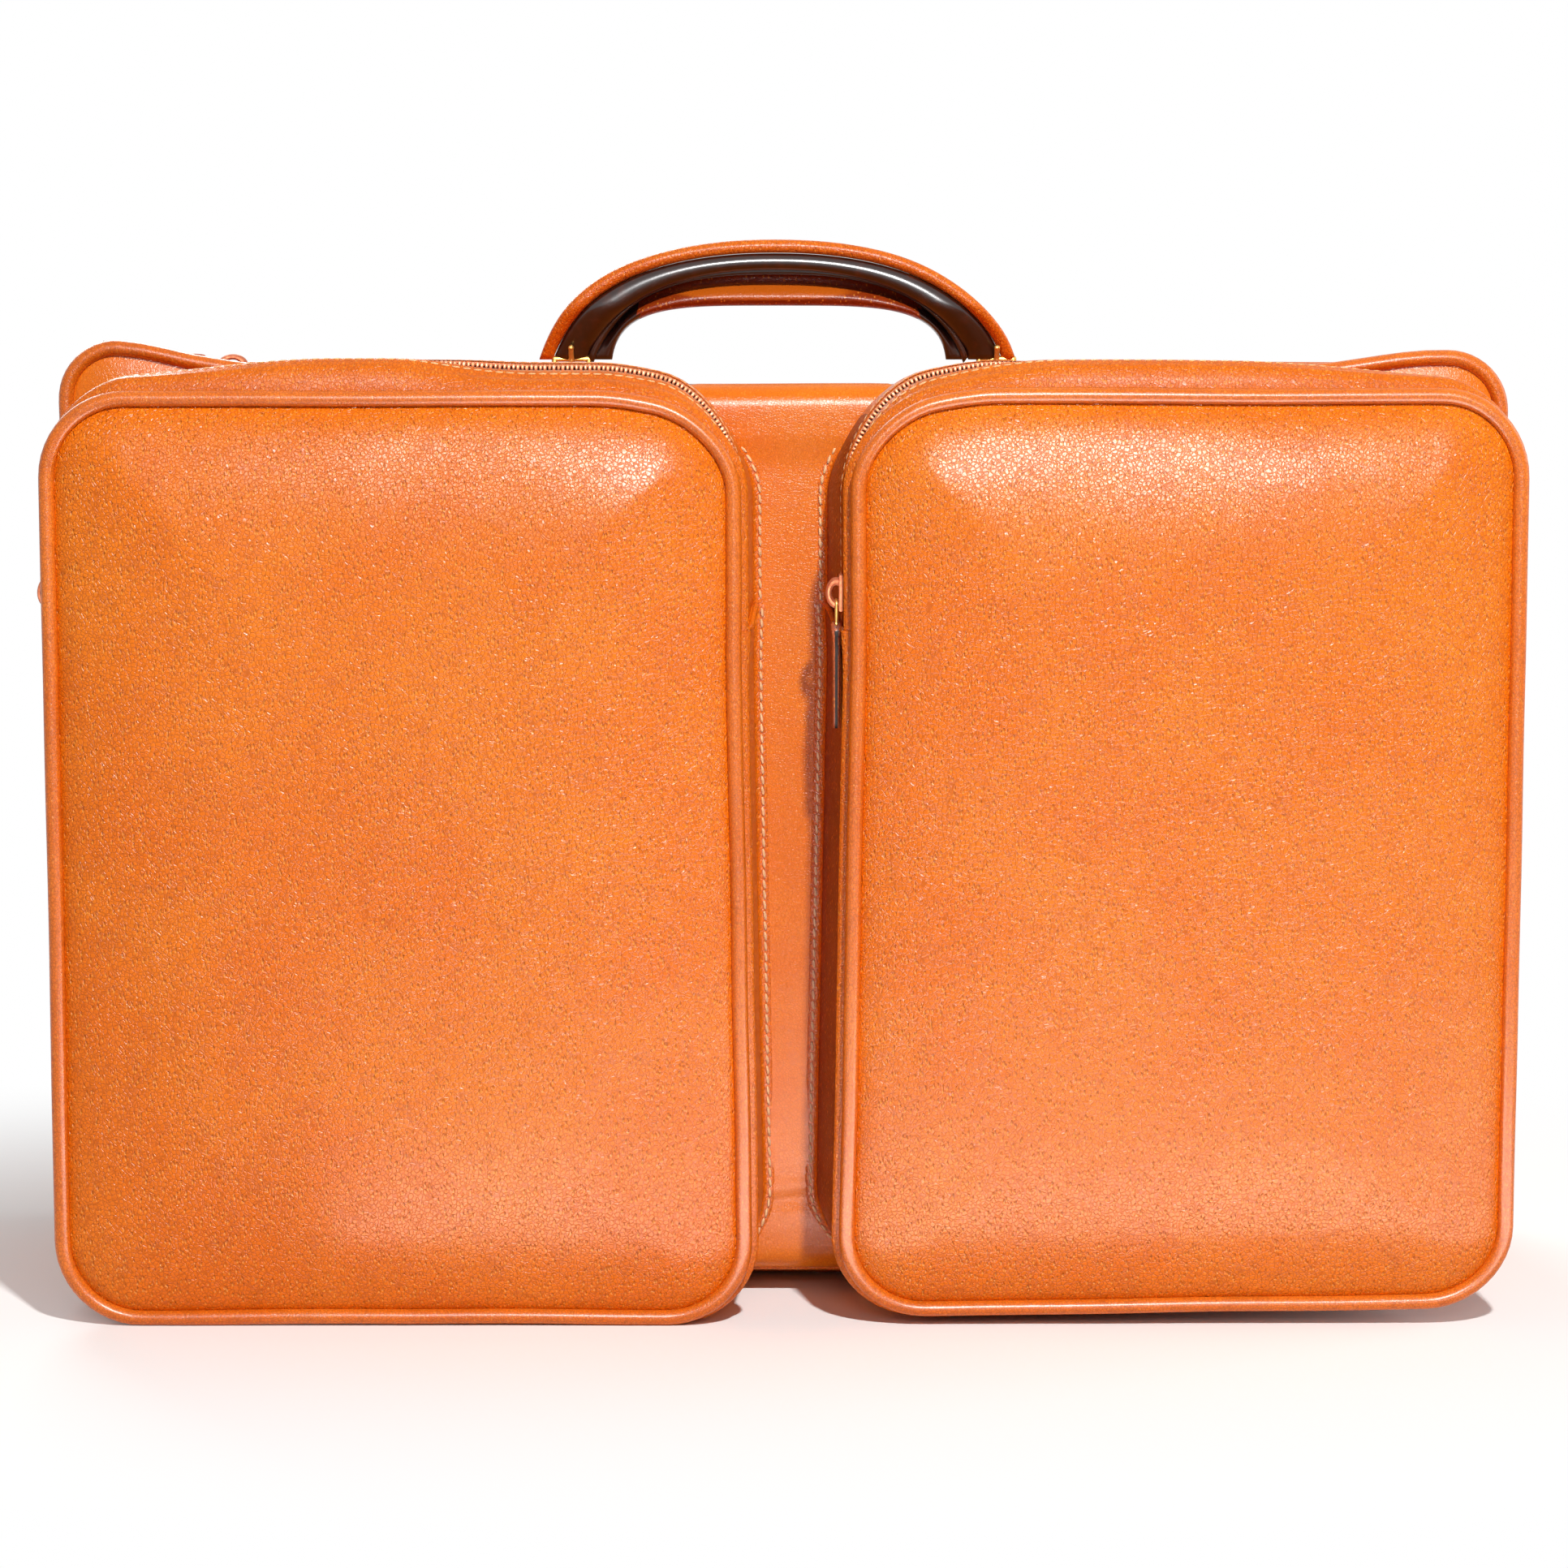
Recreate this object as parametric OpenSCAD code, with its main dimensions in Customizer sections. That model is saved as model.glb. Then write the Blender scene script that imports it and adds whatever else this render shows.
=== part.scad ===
// Leather travel bag: a soft-sided case that opens along a zip, with two box pockets on its front.
// X is to the right, Y to the back and Z up. The origin is on the floor, below the middle of the case.

/* [Case] */
// Width of the case
case_w = 560; // [500:5:640]
// Height of the case
case_h = 364; // [340:2:400]
// Depth of the case without its pockets
case_d = 150; // [130:2:190]
// Corner radius of the front and back of the case
case_r = 24; // [16:1:32]
// Depth of the lid, from the front of the case to the main zip
lid_d = 44; // [36:1:56]
// Height of the main zip's two ends above the floor
main_zip_end = 34; // [34:1:60]

/* [Leather] */
// Thickness of the leather
leather_t = 2; // [1.4:0.1:2.6]
// Diameter of the piping
piping_d = 6; // [5:0.5:7]
// How far the piping stands out past the leather beside it
piping_stand = 1.5; // [1:0.1:2]
// Thickness of the stiffening boards
board_t = 2; // [1:0.5:3]
// Thickness of the cloth lining
lining_t = 0.8; // [0.4:0.1:1.2]

/* [Pockets] */
// Width of the gap between the pockets' fronts
gap_w = 41; // [36:1:60]
// How far the middle of the gap is to the right of the middle of the case
gap_x = 4.5; // [-10:0.5:10]
// How far the tops of the pockets' fronts stay below the top of the case
pocket_drop = 6; // [0:1:40]
// Depth of the pockets, from the front of the case to the front of their piping
pocket_d = 52; // [44:1:70]
// Corner radius of the pockets
pocket_r = 33; // [26:1:44]
// How far the pockets' fronts are crowned
crown = 9; // [4:0.5:14]
// Width of the crowned border
crown_border = 46; // [34:1:60]
// How far the pockets' tops bulge up between their piping and the case
top_bulge = 13; // [0:0.5:16]
// Width of the flange that is sewn to the front of the case
flange_w = 4.5; // [3:0.5:6]
// How far the left pocket's inner side leans out from front to back
left_lean = 5.5; // [0:0.5:10]
// How far the right pocket's inner side leans out from front to back
right_lean = 10; // [0:0.5:14]
// Distance from the pockets' piping back to their zip
pocket_zip_setback = 15; // [12:0.5:24]
// How far the pocket zips' ends are below the tops of the pockets' fronts
zip_end_drop = 91; // [80:1:140]

/* [Zips] */
// Width of the gap that the leather leaves for a zip
zip_gap = 9; // [8:0.5:12]
// Thickness of the closed teeth
teeth_t = 2.4; // [2:0.1:3]
// Width of one row of teeth
teeth_w = 2; // [1.5:0.1:2.5]
// Gap between the two rows, where the slider's wedge runs
row_gap = 0.8; // [0.6:0.1:1]
// Length of a slider
slider_l = 14; // [12:0.5:18]
// Mean radius of the bail on a slider
bail_r = 4.6; // [4.2:0.1:6]
// Length of the brass link between bail and tab
link_l = 9; // [8:0.5:12]
// Length of the leather tab on a slider
tab_l = 40; // [25:1:50]
// Greatest width of the leather tab
tab_w = 11; // [9:0.5:14]
// Distance of the main zip's slider from the left side of the case
main_slider_in = 62; // [58:1:120]
// Upward tilt of the main zip's tab, in degrees
main_tab_tilt = 9; // [6:1:12]

/* [Handle] */
// Half the span of the handle's outer curve
handle_a = 101; // [80:1:120]
// Height of the handle above its pivot
handle_rise = 47; // [40:1:60]
// Width of the handle's strap, front to back
handle_w = 26; // [20:1:30]
// Thickness of the strap over the top
strap_t = 5.5; // [4:0.5:6]
// Thickness of the core at the crown
core_t = 6.7; // [5:0.1:8]
// Thickness of the core at the feet
core_foot_t = 14; // [12:0.5:16]
// Thickness of the belly pad at the crown
belly_t = 14; // [10:0.5:16]
// Distance of the handle behind the middle of the case
handle_y = 20; // [10:1:30]
// Diameter of the brass rings' wire
ring_wire = 2.2; // [1.8:0.1:2.4]
// Diameter of the staples' bar
staple_bar = 2.4; // [2:0.1:2.6]

/* [Hidden] */

tan_leather = "#d9722c";
dark_leather = "#a8501c";
black_edge = "#1c1414";
brass = "#d9a860";
cloth = "#b08a5a";
fibre_board = "#8a6a4a";

// Gaps: between parts that are sewn together, between parts that move, and at the opening zips
seam_gap = 0.2;
run_gap = 0.3;
half_zip = zip_gap / 2;
half_row = row_gap / 2;
tape_t = 0.8;
flange_t = 1.6;
arc_steps = 10;
$fn = 48;

// Planes of the case, from front to back
front_y = -case_d / 2;
back_y = case_d / 2;
zip_y = front_y + lid_d;
face_y = front_y + piping_stand;
back_face_y = back_y - piping_stand;
front_ring_y = front_y + piping_d / 2;
back_ring_y = back_y - piping_d / 2;
ring_clear = piping_d / 2 + 0.1;
panel_in = piping_d + seam_gap;
board_in = panel_in + 2;
lining_in = piping_stand + leather_t + seam_gap;
lining_floor = leather_t + board_t + 2 * seam_gap;
lining_drop = 3;
top_z = case_h - piping_stand;
zip_z = top_z - leather_t / 2;

// Planes of the pockets, from back to front
pocket_ring_y = face_y - pocket_d + piping_d / 2;
mouth_y = pocket_ring_y + ring_clear;
pocket_zip_y = pocket_ring_y + pocket_zip_setback;
peak_y = pocket_ring_y - crown;

// Each pocket: the front's left and right, the base's left and right
base_side = case_w / 2 - panel_in - flange_w - 0.5;
base_top = case_h - panel_in - flange_w - 0.5;
base_bottom = panel_in + flange_w + 0.5;
pocket_h = case_h - pocket_drop;
pocket_zip_end = pocket_h - zip_end_drop;
left_in = gap_x - gap_w / 2;
right_in = gap_x + gap_w / 2;
left_pocket = [-case_w / 2, left_in, -base_side, left_in - piping_stand + left_lean];
right_pocket = [right_in, case_w / 2, right_in + piping_stand - right_lean, base_side];

// Plates, wedge and bail of a slider, measured from the zip's middle plane
plate_t = 1.6;
inner_plate_t = 1.2;
plate_w = 9;
plate_out = teeth_t / 2 + run_gap;
wedge_l = 5;
wedge_t = row_gap - 0.3;
bail_t = 1.6;
bail_w = 3;
bail_z = plate_out + plate_t + 0.9;

// Link and tab: the link's ends, seen from the bail's centre, and the tab's outline
link_wire = 1.3;
link_r = 1.3;
link_top = bail_r - bail_t / 2 - 0.25 - link_wire / 2;
link_half = bail_w / 2 + 0.6 + link_wire / 2;
tab_pivot = link_top + link_l;
tab_t = 3;
tab_neck = bail_w / 2 + 0.3;
tab_loop_r = link_wire / 2 + 0.2 + 1.4;
tab_shoulder = 11;
tab_corner = 3;
tab_tip_r = 3.5;

// Handle: pivot, and the feet, which narrow to a few millimetres so that the handle can lean over
pivot_z = top_z + ring_wire + 2 * run_gap + staple_bar / 2;
foot_x = handle_a - strap_t - core_foot_t / 2 - 2;
foot_z = pivot_z + staple_bar / 2 + run_gap;
core_w = handle_w + 1;
belly_w = handle_w - 6;
foot_half = 1.9;
taper_h = 19;
foot_slope = (core_w / 2 - foot_half) / taper_h;

// Rings: the hole through the foot and the bends, whose joints are swollen a little
eye_z = foot_z + ring_wire / 2 + 2;
ring_bend = staple_bar / 2 + run_gap + ring_wire / 2;
joint_d = ring_wire + 0.2;
ring_half = foot_half + foot_slope * (eye_z - foot_z) + 0.4 + joint_d / 2;

// Staples and the plate inside the top that they are riveted to
staple_half = 7;
post_hole_d = staple_bar + 0.4;
plate_past = 14;
handle_plate_w = 18;
handle_plate_t = 1.5;
post_foot = top_z - leather_t - seam_gap - handle_plate_t;

// The handle's layers: curves about a common centre, from the outside in
curve_drop = 15;
curve_b = handle_rise + curve_drop;
centre_z = pivot_z - curve_drop;
foot_h = foot_z - centre_z;
layer_gap = 0.15;
bow = 2.2;
belly_bow = 2.8;
bow_steps = 14;
core_a = handle_a - strap_t;
core_b = curve_b - strap_t;
under_a = core_a - core_foot_t;
under_b = core_b - core_t;
slot_a = under_a - 6;
slot_b = under_b + 2.4;
belly_a = under_a - 8.5;
belly_b = under_b - belly_t;

// Points of an arc about c, from angle a to angle b
function arc(c, r, a, b, n = arc_steps) =
    [for (i = [0:n]) c + r * [cos(a + (b - a) * i / n), sin(a + (b - a) * i / n)]];

// Outlines are [left, right, bottom, top, radius]; this takes one in by d on every side
function taken_in(o, d) = [o[0] + d, o[1] - d, o[2] + d, o[3] - d, max(o[4] - d, 1)];

// A whole outline, and its stretches above and below height z
function closed_path(o) = concat(
    arc([o[1] - o[4], o[2] + o[4]], o[4], -90, 0), arc([o[1] - o[4], o[3] - o[4]], o[4], 0, 90),
    arc([o[0] + o[4], o[3] - o[4]], o[4], 90, 180), arc([o[0] + o[4], o[2] + o[4]], o[4], 180, 270));
function upper_path(o, z) = concat(
    [[o[1], z]], arc([o[1] - o[4], o[3] - o[4]], o[4], 0, 90),
    arc([o[0] + o[4], o[3] - o[4]], o[4], 90, 180), [[o[0], z]]);
function lower_path(o, z) = concat(
    [[o[0], z]], arc([o[0] + o[4], o[2] + o[4]], o[4], 180, 270),
    arc([o[1] - o[4], o[2] + o[4]], o[4], 270, 360), [[o[1], z]]);
function backwards(p) = [for (i = [len(p) - 1:-1:0]) p[i]];

// The case's outline round its piping, and round the leather between, whose base is level with the piping
case_outline = [-case_w / 2, case_w / 2, 0, case_h, case_r];
skin_outline = [piping_stand - case_w / 2, case_w / 2 - piping_stand, 0, top_z, case_r - piping_stand];

// Stands a drawing in X and Z upright, filling from y0 back to y1
module upright(y0, y1) {
    translate([0, y1, 0]) rotate([90, 0, 0]) linear_extrude(y1 - y0) children();
}

// A plate inside an outline
module plate(o, y0, y1) {
    upright(y0, y1) polygon(closed_path(o));
}

// A band of leather along the inside of an outline, above or below height z
module band(o, t, z, y0, y1, upper = true) {
    inner = taken_in(o, t);
    upright(y0, y1)
        polygon(upper ? concat(upper_path(o, z), backwards(upper_path(inner, z)))
                      : concat(lower_path(o, z), backwards(lower_path(inner, z))));
}

// A quarter bend of tube about c, from angle a on
module tube_bend(c, r, d, a) {
    translate([c[0], 0, c[1]]) rotate([90, 0, 0]) rotate([0, 0, a])
        rotate_extrude(angle = 90) translate([r, 0]) circle(d = d);
}

// A straight tube in the plane y = 0
module tube_run(p, q, d) {
    run = q - p;
    translate([p[0], 0, p[1]]) rotate([0, atan2(run[0], run[1]), 0]) cylinder(d = d, h = norm(run));
}

// Piping along an outline: all of it, or only what is above or below height z
module piping(outline, y, d, part = "whole", z = 0) {
    o = taken_in(outline, d / 2);
    r = o[4];
    low = part == "upper" ? z : o[2] + r;
    high = part == "lower" ? z : o[3] - r;
    translate([0, y, 0]) {
        for (x = [o[0], o[1]]) tube_run([x, low], [x, high], d);
        if (part != "lower") {
            tube_run([o[0] + r, o[3]], [o[1] - r, o[3]], d);
            tube_bend([o[1] - r, o[3] - r], r, d, 0);
            tube_bend([o[0] + r, o[3] - r], r, d, 90);
        }
        if (part != "upper") {
            tube_run([o[0] + r, o[2]], [o[1] - r, o[2]], d);
            tube_bend([o[0] + r, o[2] + r], r, d, 180);
            tube_bend([o[1] - r, o[2] + r], r, d, 270);
        }
    }
}

// The back of the case
module back_panel() {
    color(tan_leather) plate(taken_in(case_outline, panel_in), back_face_y - leather_t, back_face_y);
}

module back_piping() {
    color(dark_leather) piping(case_outline, back_ring_y, piping_d);
}

// The holes that the staples' posts go through
module post_holes() {
    for (side = [-1, 1], post = [-1, 1])
        translate([side * foot_x + post * staple_half, handle_y, top_z - 12])
            cylinder(d = post_hole_d, h = 24);
}

module tray_gusset() {
    color(tan_leather) difference() {
        band(skin_outline, leather_t, main_zip_end, zip_y + half_zip, back_ring_y - ring_clear);
        post_holes();
    }
}

module tray_base() {
    color(tan_leather)
        band(skin_outline, leather_t, main_zip_end - seam_gap,
             zip_y + half_row, back_ring_y - ring_clear, false);
}

module back_board() {
    color(fibre_board)
        plate(taken_in(case_outline, board_in), back_face_y - leather_t - seam_gap - board_t,
              back_face_y - leather_t - seam_gap);
}

base_board_half = case_w / 2 - case_r - 6;
base_board_z = leather_t + seam_gap;
tray_floor_back = back_face_y - leather_t - 2 * seam_gap - board_t;

module base_board() {
    color(fibre_board)
        translate([-base_board_half, zip_y + half_zip, base_board_z])
            cube([2 * base_board_half, tray_floor_back - seam_gap - zip_y - half_zip, board_t]);
}

// The lining is a tray of thin cloth whose floor clears the base board
lining_outline = [
    lining_in - case_w / 2, case_w / 2 - lining_in, lining_floor, case_h - lining_in - lining_drop,
    case_r - piping_stand - leather_t
];

module lining(wall_y, rim_y) {
    o = lining_outline;
    n = len(closed_path(o));
    y0 = min(wall_y, rim_y);
    y1 = max(wall_y, rim_y);
    back_wall = wall_y > rim_y ? wall_y - lining_t : wall_y;
    color(cloth) {
        upright(y0, y1)
            polygon(concat(closed_path(o), closed_path(taken_in(o, lining_t))),
                    paths = [[for (i = [0:n - 1]) i], [for (i = [n:2 * n - 1]) i]]);
        plate(taken_in(o, lining_t / 2), back_wall, back_wall + lining_t);
    }
}

module tray_lining() {
    lining(tray_floor_back, zip_y + half_zip + 4);
}

// One side of a zip: the row of teeth and the tape that carries it
module zip_side(toward) {
    teeth = taken_in(skin_outline, (leather_t - teeth_t) / 2);
    tape = taken_in(skin_outline, (leather_t - tape_t) / 2);
    row = [half_row, half_row + teeth_w];
    rest = [half_row + teeth_w, half_zip - seam_gap];
    color(brass) {
        band(teeth, teeth_t, main_zip_end + seam_gap, zip_y + min(toward * row), zip_y + max(toward * row));
        band(tape, tape_t, main_zip_end + seam_gap, zip_y + min(toward * rest), zip_y + max(toward * rest));
    }
}

module main_zip_rear() {
    zip_side(1);
}

module main_zip_front() {
    zip_side(-1);
}

// The plate inside the top that the staples' posts are riveted to
module handle_plate() {
    color(brass) difference() {
        translate([-foot_x - plate_past, handle_y - handle_plate_w / 2, post_foot])
            cube([2 * (foot_x + plate_past), handle_plate_w, handle_plate_t]);
        post_holes();
    }
}

// A staple: a bar along X on two posts through the top
module staple(x) {
    color(brass) translate([x, handle_y, 0]) {
        translate([-staple_half, 0, pivot_z]) rotate([0, 90, 0])
            cylinder(d = staple_bar, h = 2 * staple_half);
        for (side = [-1, 1]) translate([side * staple_half, 0, 0]) {
            translate([0, 0, post_foot]) cylinder(d = staple_bar, h = pivot_z - post_foot);
            translate([0, 0, pivot_z]) sphere(d = staple_bar);
        }
    }
}

module left_staple() {
    staple(-foot_x);
}

module right_staple() {
    staple(foot_x);
}

// The lid
module front_panel() {
    color(dark_leather) plate(taken_in(case_outline, panel_in), face_y, face_y + leather_t);
}

module front_piping() {
    color(dark_leather) piping(case_outline, front_ring_y, piping_d);
}

module lid_gusset() {
    color(tan_leather)
        band(skin_outline, leather_t, main_zip_end, front_ring_y + ring_clear, zip_y - half_zip);
}

module lid_base() {
    color(tan_leather)
        band(skin_outline, leather_t, main_zip_end - seam_gap,
             front_ring_y + ring_clear, zip_y - half_row, false);
}

module front_board() {
    color(fibre_board)
        plate(taken_in(case_outline, board_in), face_y + leather_t + seam_gap,
              face_y + leather_t + seam_gap + board_t);
}

module lid_lining() {
    lining(face_y + leather_t + 2 * seam_gap + board_t, zip_y - half_zip - 4);
}

// Slider, drawn with the zip along X and its outside up: two plates, a wedge between them and a bail
module zip_slider(plate_in) {
    color(brass) {
        translate([-slider_l / 2, -plate_w / 2, plate_out]) cube([slider_l, plate_w, plate_t]);
        translate([-slider_l / 2, -plate_w / 2, -plate_in - inner_plate_t])
            cube([slider_l, plate_w, inner_plate_t]);
        translate([slider_l / 2 - wedge_l - 1, -wedge_t / 2, -plate_in - 0.5])
            cube([wedge_l, wedge_t, plate_in + plate_out + 1]);
        for (side = [-1, 1])
            translate([side * bail_r - bail_t / 2, -bail_w / 2, plate_out + plate_t / 2])
                cube([bail_t, bail_w, bail_z - plate_out - plate_t / 2]);
        translate([0, 0, bail_z]) rotate([90, 0, 0])
            rotate_extrude(angle = 180)
                translate([bail_r - bail_t / 2, -bail_w / 2]) square([bail_t, bail_w]);
    }
}

// Link: a closed ring of wire lying in X and Y, from the bail to the tab's loop
module zip_link() {
    half_wire = link_wire / 2;
    color(brass) translate([0, 0, bail_z]) rotate([90, 0, 0])
        piping([-tab_pivot - half_wire, half_wire - link_top,
                -link_half - half_wire, link_half + half_wire, link_r + half_wire], 0, link_wire);
}

// Tab: a doubled strip of leather folded round the link
module zip_tab() {
    side = tab_w / 2 - tab_corner;
    color(dark_leather) translate([-tab_pivot, 0, bail_z]) difference() {
        union() {
            rotate([90, 0, 0]) cylinder(r = tab_loop_r, h = 2 * tab_neck, center = true);
            translate([0, 0, -tab_t / 2]) linear_extrude(tab_t)
                polygon(concat(
                    [[-1, tab_neck], [-3, tab_neck]], arc([-tab_shoulder, side], tab_corner, 70, 90, 3),
                    arc([tab_tip_r - tab_l, 0], tab_tip_r, 90, 270, 8),
                    arc([-tab_shoulder, -side], tab_corner, 270, 290, 3),
                    [[-3, -tab_neck], [-1, -tab_neck]]));
        }
        rotate([90, 0, 0]) cylinder(d = link_wire + 0.4, h = 2 * tab_neck + 2, center = true);
    }
}

// The main zip's puller lies to the left on the top, tilted up a little
module on_top() {
    translate([main_slider_in - case_w / 2, zip_y, zip_z]) children();
}

module tilted_up() {
    translate([0, 0, bail_z]) rotate([0, main_tab_tilt, 0]) translate([0, 0, -bail_z]) children();
}

module main_slider() {
    on_top() zip_slider(plate_out);
}

module main_link() {
    on_top() tilted_up() zip_link();
}

module main_tab() {
    on_top() tilted_up() zip_tab();
}

// Outline of a pocket's sides at depth y, between its base on the case and its mouth behind the piping
bulge_power = 2.5;
function pocket_outline(p, y) =
    let (t = (y - face_y) / (mouth_y - face_y), s = piping_stand)
    [
        p[2] + (p[0] + s - p[2]) * t,
        p[3] + (p[1] - s - p[3]) * t,
        base_bottom + (s - base_bottom) * t,
        base_top + (pocket_h - s - base_top) * t + top_bulge * (1 - pow(abs(2 * t - 1), bulge_power)),
        pocket_r - s * t
    ];
function ring_outline(p) = [p[0], p[1], 0, pocket_h, pocket_r];

// A leaning band of a pocket's sides: its section is a list of [y, distance in from the side]
module side_band(p, section, z, upper = true) {
    rails = [
        for (c = section)
            upper ? upper_path(taken_in(pocket_outline(p, c[0]), c[1]), z)
                  : lower_path(taken_in(pocket_outline(p, c[0]), c[1]), z)
    ];
    n = len(section);
    m = len(rails[0]);
    points = [for (i = [0:m - 1], j = [0:n - 1]) [rails[j][i][0], section[j][0], rails[j][i][1]]];
    sides = [
        for (i = [0:m - 2], j = [0:n - 1], tri = [0, 1])
            tri == 0 ? [i * n + j, i * n + (j + 1) % n, (i + 1) * n + j]
                     : [i * n + (j + 1) % n, (i + 1) * n + (j + 1) % n, (i + 1) * n + j]
    ];
    caps = [[for (j = [n - 1:-1:0]) j], [for (j = [0:n - 1]) (m - 1) * n + j]];
    polyhedron(points, concat(sides, caps), convexity = 6);
}

// Section of a strip from y0 forward to y1, with cuts between so that it follows the bulge
strip_cuts = 4;
function run(y0, y1, in) = [for (i = [0:strip_cuts]) [y0 + (y1 - y0) * i / strip_cuts, in]];
function strip(y0, y1) = concat(run(y0, y1, 0), run(y1, y0, leather_t));
// The same with its back edge turned out into the sewn flange
function flanged(y1) =
    let (back = face_y - seam_gap, fore = back - flange_t)
    concat([[back, -flange_w], [fore, -flange_w]], run(fore, y1, 0), run(y1, back, leather_t));

module rear_gusset(p) {
    color(tan_leather) side_band(p, flanged(pocket_zip_y + half_zip), pocket_zip_end + seam_gap);
}

module lower_gusset(p) {
    color(dark_leather) side_band(p, flanged(mouth_y), pocket_zip_end - seam_gap, false);
}

module mouth_gusset(p) {
    color(tan_leather)
        side_band(p, strip(pocket_zip_y - half_zip, mouth_y), pocket_zip_end + seam_gap);
}

// One side of a pocket's zip, toward the back or toward the front
module pocket_zip(p, toward) {
    from = pocket_zip_y + toward * half_row;
    mid = from + toward * teeth_w;
    to = pocket_zip_y + toward * (half_zip - seam_gap);
    t0 = (leather_t - teeth_t) / 2;
    t1 = (leather_t - tape_t) / 2;
    color(brass)
        side_band(p, toward < 0 ? zip_section(from, mid, to, t0, t1) : zip_section(to, mid, from, t1, t0),
                  pocket_zip_end + seam_gap);
}
function zip_section(a, b, c, ta, tc) = [
    [a, ta], [b, ta], [b, tc], [c, tc],
    [c, leather_t - tc], [b, leather_t - tc], [b, leather_t - ta], [a, leather_t - ta]
];

// The crowned front of a pocket: a thin shell inside the piping
module dome(p, shrink, back) {
    o = ring_outline(p);
    levels = [[panel_in, 0], [panel_in + crown_border / 4, 0.62], [panel_in + crown_border, 1]];
    hull() for (l = levels)
        translate([0, back ? shrink : 0, 0])
            plate(taken_in(o, l[0] + (back ? shrink : 0)), pocket_ring_y - crown * l[1] - (back ? 0 : 0.1),
                  pocket_ring_y - crown * l[1] + (back ? 2 : 0.1));
}

module pocket_front(p, z0, z1) {
    color("#f08a3c") intersection() {
        difference() {
            dome(p, 0, false);
            dome(p, leather_t, true);
        }
        translate([p[0] - 1, peak_y - 5, z0]) cube([p[1] - p[0] + 2, crown + 10, z1 - z0]);
    }
}

module lower_front(p) {
    pocket_front(p, -1, pocket_zip_end - seam_gap);
}

module upper_front(p) {
    pocket_front(p, pocket_zip_end + seam_gap, pocket_h + 1);
}

module lower_piping(p) {
    color(dark_leather)
        piping(ring_outline(p), pocket_ring_y, piping_d, "lower", pocket_zip_end - seam_gap);
}

module upper_piping(p) {
    color(dark_leather)
        piping(ring_outline(p), pocket_ring_y, piping_d, "upper", pocket_zip_end + seam_gap);
}

// A pocket's slider stands on its left side, low on the zip, with its bail facing left
slider_above_end = 14;
function wall_x(p, dy) = pocket_outline(p, pocket_zip_y + dy)[0];
function outer_x(p) = min(wall_x(p, -plate_w / 2), wall_x(p, plate_w / 2));
function inner_x(p) = max(wall_x(p, -plate_w / 2), wall_x(p, plate_w / 2));

module on_side(p) {
    translate([outer_x(p) + leather_t / 2, pocket_zip_y, pocket_zip_end + slider_above_end])
        rotate([0, -90, 0]) children();
}

module pocket_slider(p) {
    on_side(p) zip_slider(plate_out + inner_x(p) - outer_x(p));
}

module left_lower_front() { lower_front(left_pocket); }
module left_lower_piping() { lower_piping(left_pocket); }
module left_rear_gusset() { rear_gusset(left_pocket); }
module left_lower_gusset() { lower_gusset(left_pocket); }
module left_zip_rear() { pocket_zip(left_pocket, 1); }
module left_upper_front() { upper_front(left_pocket); }
module left_upper_piping() { upper_piping(left_pocket); }
module left_mouth_gusset() { mouth_gusset(left_pocket); }
module left_zip_front() { pocket_zip(left_pocket, -1); }
module left_slider() { pocket_slider(left_pocket); }
module left_link() { on_side(left_pocket) zip_link(); }
module left_tab() { on_side(left_pocket) zip_tab(); }
module right_lower_front() { lower_front(right_pocket); }
module right_lower_piping() { lower_piping(right_pocket); }
module right_rear_gusset() { rear_gusset(right_pocket); }
module right_lower_gusset() { lower_gusset(right_pocket); }
module right_zip_rear() { pocket_zip(right_pocket, 1); }
module right_upper_front() { upper_front(right_pocket); }
module right_upper_piping() { upper_piping(right_pocket); }
module right_mouth_gusset() { mouth_gusset(right_pocket); }
module right_zip_front() { pocket_zip(right_pocket, -1); }
module right_slider() { pocket_slider(right_pocket); }
module right_link() { on_side(right_pocket) zip_link(); }
module right_tab() { on_side(right_pocket) zip_tab(); }

// Height of a handle curve above its centre at x: a superellipse with half axes a and b
function curve(x, a, b, p) = b * pow(max(0, 1 - pow(abs(x) / a, p)), 1 / p);
// Half width of a handle curve at height z above its centre
function curve_x(z, a, b, p) = a * pow(max(0, 1 - pow(z / b, p)), 1 / p);

// Points along a handle curve, from its right foot over the crown to its left foot
function bow_path(a, b, p) =
    let (half = curve_x(foot_h, a, b, p))
    [
        for (i = [0:2 * bow_steps])
            let (x = half * cos(90 * i / bow_steps))
            [x, centre_z + max(foot_h, curve(x, a, b, p))]
    ];

// The belly's upper edge: clear of the core at the feet, and against it over the crown
function belly_top() =
    let (half = curve_x(foot_h, slot_a, slot_b, bow))
    [
        for (i = [0:2 * bow_steps])
            let (x = half * cos(90 * i / bow_steps), free = curve(x, slot_a, slot_b, bow))
            [x, centre_z + max(foot_h, min(free, curve(x, under_a, under_b, bow) - layer_gap))]
    ];

// A layer of the handle between two curves, with its feet narrowed
module handle_layer(width, upper, lower) {
    full_h = foot_z + (width / 2 - foot_half) / foot_slope;
    over = pivot_z + handle_rise + 1;
    intersection() {
        upright(handle_y - width, handle_y + width) polygon(concat(upper, backwards(lower)));
        translate([-handle_a - 1, handle_y, 0]) rotate([90, 0, 90]) linear_extrude(2 * handle_a + 2)
            polygon([
                [-foot_half, foot_z - 1], [foot_half, foot_z - 1], [foot_half, foot_z],
                [width / 2, full_h], [width / 2, over],
                [-width / 2, over], [-width / 2, full_h], [-foot_half, foot_z]
            ]);
    }
}

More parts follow.
